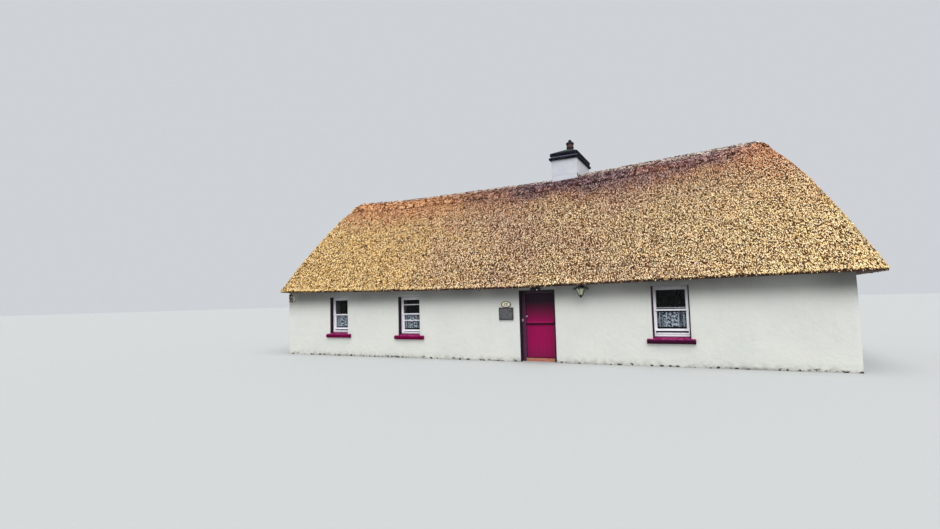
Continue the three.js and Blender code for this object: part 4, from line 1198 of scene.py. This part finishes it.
def joinery(opening):
    """Casing, foot board and two sashes of one window in the front wall, as frames and bars."""
    left, right = opening["left"] + CLEAR, opening["right"] - CLEAR
    seat, head, board, meeting = (opening[key] for key in ("seat", "head", "board", "meeting"))
    low, high, back = seat + CLEAR / 2, head - CLEAR, REVEAL + FRAME_DEEP
    outer = (left, right, low, high)
    inner = (left + FRAME_FACE, right - FRAME_FACE, seat + board, high - FRAME_FACE)
    casing = moulding(outer, inner, [
        (0, REVEAL + 0.004), (0.06, REVEAL), (0.60, REVEAL), (0.66, REVEAL + 0.006), (0.74, REVEAL + 0.004),
        (0.90, REVEAL + 0.004), (0.97, REVEAL + 0.008), (1, REVEAL + 0.014), (1, back), (0, back)])
    nose = rail_along(left + NOSE_INSET, right - NOSE_INSET, [
        (REVEAL - 0.014, seat + board - 0.020), (REVEAL - 0.014, seat + board - 0.004),
        (REVEAL - 0.008, seat + board + 0.002), (REVEAL + 0.030, seat + board + 0.003),
        (REVEAL + 0.030, seat + board - 0.022), (REVEAL - 0.008, seat + board - 0.024)])
    sides = (left + FRAME_FACE - SASH_LAP, right - FRAME_FACE + SASH_LAP)
    upper_bars, lower_bars = opening["bars"][:1], opening["bars"][1:]
    upper = sash_frame(*sides, meeting - MEETING / 2, high - FRAME_FACE + SASH_LAP, UPPER_SASH_Y, MEETING,
                       RAIL, upper_bars)
    bottom = seat + board + opening["raised"]
    lower = sash_frame(*sides, bottom, meeting + MEETING / 2, LOWER_SASH_Y, RAIL, MEETING, lower_bars)
    if opening.get("top_bar"):
        y, base = LOWER_SASH_Y, meeting + MEETING / 2 + TOP_BAR_GAP
        lower.append(rail_along(inner[0] - 0.002, inner[1] + 0.002, [
            (y + 0.004, base), (y + 0.002, base + 0.004), (y + 0.002, base + 0.018),
            (y + 0.006, base + 0.022), (y + 0.024, base + 0.022), (y + 0.024, base)]))
    return joined(casing, nose, *upper, *lower)


def turned_back(opening, shape):
    """The same window, turned to look out of the back wall."""
    points, faces = shape
    middle = (opening["left"] + opening["right"]) / 2
    return np.column_stack([2 * middle - points[:, 0], DEPTH - points[:, 1], points[:, 2]]), faces


print("points in one window:", len(joinery(WINDOWS["window_3"])[0]))

# %% [markdown]
# A sill throws the rain clear of the wall. It is cast, with a rounded nose, and painted over and over, so its
# section is carried along with small waves of the hand. Under it a bed of the same stuff fills the hole back
# to the casing. Narrow strips close the gap between casing and stone.

# %% Sills and strips
SILL_STATIONS = 34
SILL_WAVE = 0.004
STRIP_WIDTH = 0.034


def sill_shape(opening):
    """A cast sill: a section with a rounded nose, carried along x with small waves of the hand."""
    front = opening["seat"] - SILL_FALL
    section_yz = np.array([
        (-0.046, front - 0.104), (-0.064, front - 0.086), (-0.071, front - 0.060), (-0.070, front - 0.014),
        (-0.064, front - 0.003), (-0.050, front + 0.003), (0.0, front + 0.022), (0.0, front - 0.104)])
    along = np.linspace(*opening["sill"], SILL_STATIONS)
    along[[1, -2]] = along[[0, -1]] + (0.006, -0.006)
    loops = np.array([np.column_stack([np.full(8, x), section_yz]) for x in along])
    loops[:, :6, 1] += SILL_WAVE * noise(loops[:, :6], 0.15, 21)
    loops[:, :6, 2] += SILL_WAVE * noise(loops[:, :6], 0.25, 22)
    middle = loops.mean(axis=1, keepdims=True)
    loops[[0, -1]] = (middle + (loops - middle) * 0.9)[[0, -1]]
    back, seat = REVEAL + FRAME_DEEP, opening["seat"]
    bed = rail_along(opening["left"] + CLEAR / 2, opening["right"] - CLEAR / 2, [
        (-CLEAR, front + CLEAR / 2), (back, front + CLEAR / 2), (back, seat), (REVEAL, seat),
        (-CLEAR, front + 0.022)])
    return joined(loft(loops), bed)


def edge_strips(opening):
    """Two narrow strips in front of the casing, where it meets the stone."""
    low, high = opening["seat"] + 0.003, opening["head"] - 0.003
    strips = []
    for corner, inwards in ((opening["left"] + CLEAR, 1), (opening["right"] - CLEAR, -1)):
        outline = [(corner, REVEAL + 0.003), (corner + inwards * STRIP_WIDTH, REVEAL + 0.003),
                   (corner + inwards * (STRIP_WIDTH - 0.002), REVEAL - 0.005), (corner, REVEAL - 0.006)]
        strips.append(loft(np.array([np.column_stack([outline, np.full(4, z)]) for z in (low, high)])))
    return joined(*strips)


print("points in one sill:", len(sill_shape(WINDOWS["window_3"])[0]))

# %% [markdown]
# The joinery is white gloss paint, a little lilac, with the same painted shade under the eave as the wall.
# The sills are deep magenta, rubbed by rain on their top, which is also painted lighter than the front, as
# light falls on it. A pane could bend the light like a block of glass, but one this thin hardly does. It is
# mostly see-through instead, so that the lace shows behind it. The panes at the back are dusty.

# %% Paint and panes
window_paint, tree, surface = finish("window_paint", Roughness=0.45)
patches = between(tree, grain(tree, 6.0, 4.0), 0.35, 0.75)
white = blend(tree, patches, (252, 250, 253), (238, 233, 243))
# Painted shade under the eave, as on the walls.
colour_by(tree, surface, eave_shade(tree, white))

sill_paint, tree, surface = finish("sill_paint", Roughness=0.6, Specular_IOR_Level=0.03)
worn = between(tree, grain(tree, 18.0, 4.0, 0.7), 0.64, 0.70)
magenta = blend(tree, grain(tree, 4.0, 3.0), (94, 3, 48), (112, 6, 60))
painted = blend(tree, worn, magenta, (100, 44, 76))
# Painted shade: the sills grow darker towards the right end of the house.
right_sills_shade = between(tree, axes(tree)[0], 10.0, 12.3, 0.0, 0.85)
colour_by(tree, surface, blend(tree, right_sills_shade, painted, (40, 20, 38)))

# The top is painted lighter than the front, as light falls on it, and rubbed paler in patches.
sill_top, tree, surface = finish("sill_top", Roughness=0.6, Specular_IOR_Level=0.1)
rubbed = between(tree, grain(tree, 12.0, 4.0), 0.4, 0.7)
scuffed = blend(tree, rubbed, (116, 8, 70), (158, 54, 112))
# Painted shade on the top of the sill, under the nose of the foot board.
shade_under_board = between(tree, apart(tree, axes(tree)[1], DEPTH / 2), 2.915, 2.870, 0.0, 0.95)
colour_by(tree, surface, blend(tree, shade_under_board, scuffed, (48, 6, 34)))

glass = finish("glass", (6, 9, 10), Roughness=0.06, Alpha=0.30, Specular_IOR_Level=0.3)[0]
clear_glass = finish("clear_glass", (6, 9, 10), Roughness=0.06, Alpha=0.12, Specular_IOR_Level=0.3)[0]
dusty_glass, tree, surface = finish("dusty_glass", Roughness=0.25, Alpha=0.97, Specular_IOR_Level=0.2)
colour_by(tree, surface, ramp(tree, grain(tree, 5.0, 4.0), (0.3, 12, 15, 17), (0.7, 30, 33, 34)))
print("finishes so far:", len(bpy.data.materials))

# %% [markdown]
# All five windows come out of one loop. A sill has two finishes, and the way a face looks decides between
# them: where its normal points up, it is the top, rubbed, and painted lighter as light falls on it.

# %% Five windows
for name, opening in WINDOWS.items():
    at_back = name.startswith("back")
    shapes = [joinery(opening), sill_shape(opening), edge_strips(opening)]
    if at_back:
        shapes = [turned_back(opening, shape) for shape in shapes]
    sashes, sill, strips = shapes
    make_piece(f"{name}_sashes", sashes, window_paint, smooth=False,
               stands_for=[f"{name}_joinery"])
    ledge = make_piece(f"{name}_ledge", sill, [sill_paint, sill_top], smooth=False,
                       stands_for=[f"{name}_sill"])
    normals = np.empty(3 * len(ledge.data.polygons), np.float32)
    ledge.data.polygons.foreach_get("normal", normals)
    ledge.data.polygons.foreach_set("material_index", (normals[2::3] > 0.5).astype(np.int32))
    make_piece(f"{name}_strips", strips, reveal_paint, smooth=False)
    repaint(dusty_glass if at_back else glass, f"{name}_upper_glass")
    repaint(dusty_glass if at_back else clear_glass, f"{name}_lower_glass")
    print(name, "points:", sum(len(points) for points, _ in shapes))

# %% [markdown]
# Behind each lower sash hangs a half curtain of lace, drawn up on a stretched wire so that it falls in
# folds. Holes cut in the mesh would take millions of faces, so the pattern is in the finish: between the
# threads the cloth is clear and lets the dark room through. It is dense in the middle and thin at the sides,
# bright where a pleat doubles the cloth, and ends below in a wavy edge.

# %% Finish of the lace
lace, tree, surface = finish("lace", (224, 240, 255), Roughness=0.9)
cloth = node(tree, "ShaderNodeTexCoord").outputs["UV"]
leaves = node(tree, "ShaderNodeTexNoise", {"Vector": cloth, "Scale": 19.0, "Detail": 2.0}).outputs[0]
threads = node(tree, "ShaderNodeTexVoronoi", {"Vector": cloth, "Scale": 130.0}).outputs["Distance"]
solid_part = between(tree, leaves, 0.47, 0.53)
thread_part = between(tree, threads, 0.2, 0.6, 0.0, 0.10)
cloth_v = node(tree, "ShaderNodeSeparateXYZ", {0: cloth}).outputs[1]
above_edge = between(tree, sums(tree, "MULTIPLY_ADD", leaves, 0.03, cloth_v), 0.034, 0.040)
pattern = times(tree, sums(tree, "MAXIMUM", solid_part, thread_part), attribute(tree, "dense"))
cover = times(tree, sums(tree, "MAXIMUM", pattern, attribute(tree, "folded")), above_edge)
tree.links.new(between(tree, cover, 0.0, 1.0, 0.03, 0.98), surface.inputs["Alpha"])
print("steps in the finish of the lace:", len(tree.nodes))

# %% [markdown]
# The curtain is one layer of cloth. Cloth can be dropped by a simulation, but a formula gives the same folds
# on each run: a grid whose depth is a wave across, wider at the sides where the cloth is bunched. Its length
# along the wave is the width that it would have when laid flat, and that length also carries the pattern, so
# the pattern bunches with the cloth.

# %% Three curtains
wire_metal = finish("wire_metal", (150, 150, 150), Roughness=0.4, Metallic=0.8)[0]
LACE_Y = 0.249
ROWS, COLUMNS = 30, 260
FOLDS = 8
PLEATS = np.array([0.13, 0.34, 0.71, 0.87])
PLEAT_WIDTH = 0.014
WIRE_RADIUS, WIRE_HOLD = 0.0025, 0.010
across = np.linspace(0, 1, COLUMNS)[None, :]
down = np.linspace(0, 1, ROWS)[:, None]
for number in (1, 2, 3):
    opening = WINDOWS[f"window_{number}"]
    left, right = opening["left"] + FRAME_FACE + 0.004, opening["right"] - FRAME_FACE - 0.004
    low, high = opening["lace"]
    folds = FOLDS * across + 0.8 * (2 * across - 1) ** 3 + 0.12 * np.sin(5 * across + number)
    deep = (0.0090 + 0.0025 * down) * np.sin(2 * math.pi * folds + 0.5 * down * np.sin(9 * across + number))
    grid = np.stack(np.broadcast_arrays(
        mix(left, right, across), LACE_Y + deep, mix(high - 0.004, low, down)), -1)
    grid[..., 2] += 0.003 * np.sin(4 * math.pi * folds) * down
    points = grid.reshape(-1, 3)
    curtain = make_piece(f"lace_{number}", (points, [net(ROWS, COLUMNS, around=False)]), lace,
                         stands_for=[f"window_{number}_curtain"])
    run = np.concatenate([[0], np.cumsum(np.linalg.norm(np.diff(grid[0], axis=0), axis=1))])
    uv = np.stack([np.broadcast_to(run, (ROWS, COLUMNS)),
                   np.broadcast_to((1 - down) * (high - low), (ROWS, COLUMNS))], -1)
    corners = np.empty(len(curtain.data.loops), np.int32)
    curtain.data.loops.foreach_get("vertex_index", corners)
    curtain.data.uv_layers.new(name="cloth").data.foreach_set("uv", uv.reshape(-1, 2)[corners].ravel())
    nearest = np.abs(across[..., None] - PLEATS - 0.006 * down[..., None] * np.sin(number)).min(axis=-1)
    from_middle = np.broadcast_to(np.abs(across - 0.47), (ROWS, COLUMNS))
    mark_points(curtain, "folded", np.exp(-(nearest / PLEAT_WIDTH) ** 2))
    mark_points(curtain, "dense", 0.9 - 0.55 * np.clip((from_middle - 0.20) / 0.07, 0, 1))
    wire_ends = [(left - WIRE_HOLD, LACE_Y, high - 0.002), (right + WIRE_HOLD, LACE_Y, high - 0.002)]
    wire = make_piece(f"curtain_wire_{number}", tube(wire_ends, WIRE_RADIUS), wire_metal)
    print(f"lace {number}: flat width {run[-1]:.3f} m for a window of {right - left:.3f} m")

# %% [markdown]
# The door is a half door: the upper leaf can stand open while the lower one keeps animals out. Leaves and
# frame are the measured solids, painted. Each leaf also gets a face of upright boards, 6 mm thick, which
# turns with its leaf. Joints drawn in the paint alone would catch no light, so there is a V-shaped groove in
# the mesh at each of them.

# %% Boards of the half door
LEAF_LEFT, LEAF_RIGHT, LEAF_FRONT = 8.974, 9.789, 0.270
BOARDS, BOARD_THICK = 7, 0.006
GROOVE_DEEP = 0.0025
GROOVE = np.array([-0.003, -0.001, 0.001, 0.003])


def boarded_face(low, high):
    """A plate of boards: its front line dips by the depth of the groove at each joint between two boards."""
    joints = np.linspace(LEAF_LEFT + 0.002, LEAF_RIGHT - 0.002, BOARDS + 1)
    across = (joints[1:-1, None] + GROOVE).ravel()
    dips = np.tile([0, GROOVE_DEEP, GROOVE_DEEP, 0], BOARDS - 1)
    front_y = LEAF_FRONT - BOARD_THICK + np.concatenate([[0], dips, [0]])
    front = np.column_stack([[joints[0], *across, joints[-1]], front_y])
    back = [(joints[-1], LEAF_FRONT + 0.0005), (joints[0], LEAF_FRONT + 0.0005)]
    outline = np.concatenate([front, back])
    return loft(np.array([np.column_stack([outline, np.full(len(outline), z)]) for z in (low, high)]))


print("points in one face of boards:", len(boarded_face(0, 1)[0]))

# %% [markdown]
# The paint is magenta, dusty at the foot of the door, and painted nearly black towards its head as the shade
# of the eave and the deep doorway. The ledge at the foot of the upper leaf gets a painted highlight along its
# top and a painted shadow below. The frame is plum with the eave's painted shade, and painted darker still at
# its right post, as the shade of the gap beside it.

# %% Paint of the half door
door_paint, tree, surface = finish("door_paint", Roughness=0.55, Specular_IOR_Level=0.15)
z = axes(tree)[2]
# Painted shade: the door goes nearly black towards its head.
door_head_shade = sums(tree, "POWER", between(tree, z, 1.12, 1.68), 0.85)
fresh = blend(tree, grain(tree, 3.0, 4.0, 0.6, (6, 6, 1)), (162, 8, 78), (146, 10, 82))
dusty = blend(tree, between(tree, z, 0.10, 0.55, 0.45, 0.0), fresh, (98, 28, 70))
door_head_shaded = blend(tree, times(tree, door_head_shade, 0.96), dusty, (26, 25, 36))
# Painted highlight along the top of the ledge.
ledge_highlight = times(tree, near(tree, z, 1.102, 0.014), 0.6)
ledge_lit = blend(tree, ledge_highlight, door_head_shaded, (206, 34, 122))
# Painted shadow in the gap below the ledge.
colour_by(tree, surface, blend(tree, near(tree, z, 1.052, 0.020), ledge_lit, (40, 14, 34)))
relief(tree, surface, grain(tree, 12.0, 4.0, 0.6, (8, 8, 1)), 0.0015)

frame_paint, tree, surface = finish("frame_paint", Roughness=0.5, Specular_IOR_Level=0.3)
plum = blend(tree, grain(tree, 5.0, 3.0), (76, 50, 70), (90, 56, 82))
# Painted shade: darker at the right post beside the gap, and under the eave as on the walls.
right_post_shade = between(tree, axes(tree)[0], 9.740, 9.785, 0.0, 0.9)
colour_by(tree, surface, eave_shade(tree, blend(tree, right_post_shade, plum, (18, 10, 16))))

repaint(door_paint, "door_lower_leaf", "door_upper_leaf")
repaint(frame_paint, "door_frame")
for half, low, high in (("lower", 0.112, 1.019), ("upper", 1.092, 1.899)):
    make_piece(f"{half}_boards", boarded_face(low, high), door_paint, body=f"{half}_leaf",
               smooth=False)
    print(half, "boards:", round(high - low, 3), "m high")

# %% [markdown]
# The threshold is bare wood. Its grain is noise squeezed across the board, so that the fibres run along it.
# Knob and latch are brass that many hands have polished, painted nearly white as a glint.

# %% Threshold and brass
bare_wood, tree, surface = finish("bare_wood", Roughness=0.7)
fibres = grain(tree, 6.0, 5.0, 0.6, (1, 8, 20))
colour_by(tree, surface, ramp(tree, fibres, (0.3, 150, 86, 76), (0.7, 204, 134, 106)))
repaint(bare_wood, "door_threshold")
# Painted highlight: the brass is nearly white, as its glint.
brass = finish("brass", (240, 222, 214), Roughness=0.35, Metallic=0.3)[0]
repaint(brass, "door_knob", "door_latch")

# %% [markdown]
# Small fittings make a wall belong to somebody. The first is a slate plaque without words. It is a measured
# solid, and a flat one, so only its edge is new: a rim that is a moulding like a sash, held by four turned
# screws.

# %% Slate plaque
slate, tree, surface = finish("slate", Roughness=0.7)
mottled = grain(tree, 22.0, 5.0, 0.7)
colour_by(tree, surface, ramp(tree, mottled, (0.35, 52, 50, 54), (0.6, 98, 97, 100), (0.8, 132, 130, 131)))
repaint(slate, "slate_plaque")
dark_slate = finish("dark_slate", (34, 34, 36), Roughness=0.6)[0]

PLAQUE = (8.250, 8.680, 1.170, 1.520)
RIM_LIP, RIM_WIDTH, SCREW_INSET = 0.002, 0.018, 0.036
RIM_PROFILE = [(0, -0.0005), (0, -0.024), (0.3, -0.029), (0.8, -0.028), (1, -0.022), (1, -0.0005)]
SCREW_PROFILE = [(0.010, -0.015), (0.010, -0.021), (0.007, -0.024), (0.001, -0.025)]


def shrunk(rectangle, by):
    """A rectangle (left, right, low, high) with all four sides moved inwards by the same distance."""
    left, right, low, high = rectangle
    return left + by, right - by, low + by, high - by


rim = moulding(shrunk(PLAQUE, -RIM_LIP), shrunk(PLAQUE, RIM_WIDTH), RIM_PROFILE)
left, right, low, high = shrunk(PLAQUE, SCREW_INSET)
screws = [turned(SCREW_PROFILE, (x, 0, z), 12, way="y") for x in (left, right) for z in (low, high)]
make_piece("plaque_rim", joined(rim, *screws), dark_slate, smooth=False)
print("plaque:", round(PLAQUE[1] - PLAQUE[0], 3), "by", round(PLAQUE[3] - PLAQUE[2], 3), "m")

# %% [markdown]
# Over it sits an oval number plate, a little fuller than an ellipse: its cosine is raised to a power just
# under 1. Face and rim are both that outline at several sizes. Figures of a typeface could be cut out, but
# bent rods look painted by hand, as they should on such a plate.

# %% Number plate
enamel = finish("enamel", (226, 218, 190), Roughness=0.3)[0]
olive = finish("olive_rim", (52, 44, 30), Roughness=0.4)[0]
PLATE_X, PLATE_Z = 8.465, 1.612
PLATE_HALF_X, PLATE_HALF_Z = 0.145, 0.088
FULLNESS = 0.92
FIGURE_Y = -0.014
FACE_STEPS = [(0.97, -0.0005), (0.99, -0.006), (0.98, -0.011), (0.5, -0.0125)]
EDGE_STEPS = [(1.0, -0.001), (1.01, -0.013), (0.96, -0.017), (0.86, -0.015), (0.84, -0.010)]
ONE = [(-0.032, -0.034), (-0.032, 0.036)]
TWO = [(0.006, 0.020), (0.015, 0.033), (0.032, 0.035), (0.043, 0.023), (0.037, 0.004), (0.007, -0.032),
       (0.048, -0.032)]
turn = np.arange(48) / 48 * 2 * math.pi
wide = PLATE_HALF_X * np.sign(np.cos(turn)) * np.abs(np.cos(turn)) ** FULLNESS
plate_line = np.column_stack([wide, 0 * turn, PLATE_HALF_Z * np.sin(turn)])


def oval(steps):
    """The plate's outline at several sizes: steps are (size share, depth y)."""
    return np.array([plate_line * (size, 1, size) + (PLATE_X, y, PLATE_Z) for size, y in steps])


make_piece("number_oval", loft(oval(FACE_STEPS)), enamel, stands_for=["number_plate"])
make_piece("number_rim", ring(oval(EDGE_STEPS)), olive)
figures = [tube([(PLATE_X + across, FIGURE_Y, PLATE_Z + up) for across, up in path], radius)
           for path, radius in ((ONE, 0.009), (TWO, 0.008))]
make_piece("figures", joined(*figures), olive)
print("number plate:", 2 * PLATE_HALF_X, "by", 2 * PLATE_HALF_Z, "m")

# %% [markdown]
# A lantern hangs on a bracket at the right of the door. Its cage and glass are solids. Six curls of iron
# stand round its brim, a drop hangs under it, and the bracket ends in a scroll: a circle whose radius shrinks
# as it turns.

# %% Lantern
LANTERN_X, LANTERN_Y, BRIM = 10.680, -0.210, 2.000
CURLS = 6
CURL_STEPS = [(0.150, 0.008), (0.186, 0.002), (0.200, -0.014), (0.200, -0.032), (0.190, -0.040)]
CURL_RADII = np.array([0.017, 0.016, 0.014, 0.011, 0.008])
DROP_PROFILE = [(0.036, 1.7805), (0.030, 1.770), (0.012, 1.762), (0.016, 1.750), (0.003, 1.738)]
SCROLL_Y, SCROLL_RADIUS, SCROLL_SHRINK = -0.070, 0.055, 0.007

milky = finish("milky_glass", (206, 206, 178), Roughness=0.3, Alpha=0.80)[0]
repaint(dark_iron, "lantern_cage", "door_lamp")
repaint(milky, "lantern_glass")
bodies = []
for turn in np.arange(CURLS) / CURLS * 2 * math.pi:
    out_x, out_y = math.sin(turn), -math.cos(turn)
    path = [(LANTERN_X + reach * out_x, LANTERN_Y + reach * out_y, BRIM + up) for reach, up in CURL_STEPS]
    bodies.append(tube(path, CURL_RADII))
bodies.append(turned(DROP_PROFILE, (LANTERN_X, LANTERN_Y, 0), 16))
turn = np.linspace(0, 1.6 * math.pi, 22)
reach = SCROLL_RADIUS - SCROLL_SHRINK * turn
scroll = np.column_stack([
    np.full(len(turn), LANTERN_X), SCROLL_Y + reach * np.sin(turn), BRIM - reach * np.cos(turn)])
bodies.append(tube(scroll, 0.005))
make_piece("lantern_curls", joined(*bodies), dark_iron)
print("iron bodies of the lantern:", len(bodies))

# %% [markdown]
# The lamp over the door gets its round lens, turned like the screws, and under the eave, left of the door,
# hangs a small hook: one bent rod.

# %% Lamp and hook
LENS_PROFILE = [(0.018, -0.077), (0.018, -0.082), (0.013, -0.088), (0.002, -0.091)]
LENS_AT = (9.430, 0, 2.004)
HOOK_X, HOOK_Y, HOOK_Z = 7.700, -0.20, 2.065
HOOK_STEPS = [(0, 0.03), (0, -0.02), (0.015, -0.045), (0.035, -0.035), (0.038, -0.015)]
bright = finish("lens", (240, 244, 250), Roughness=0.15)[0]
make_piece("lamp_lens", turned(LENS_PROFILE, LENS_AT, 20, way="y"), bright)
hook = [(HOOK_X + across, HOOK_Y, HOOK_Z + up) for across, up in HOOK_STEPS]
make_piece("eave_hook", tube(hook, 0.008), dark_iron)
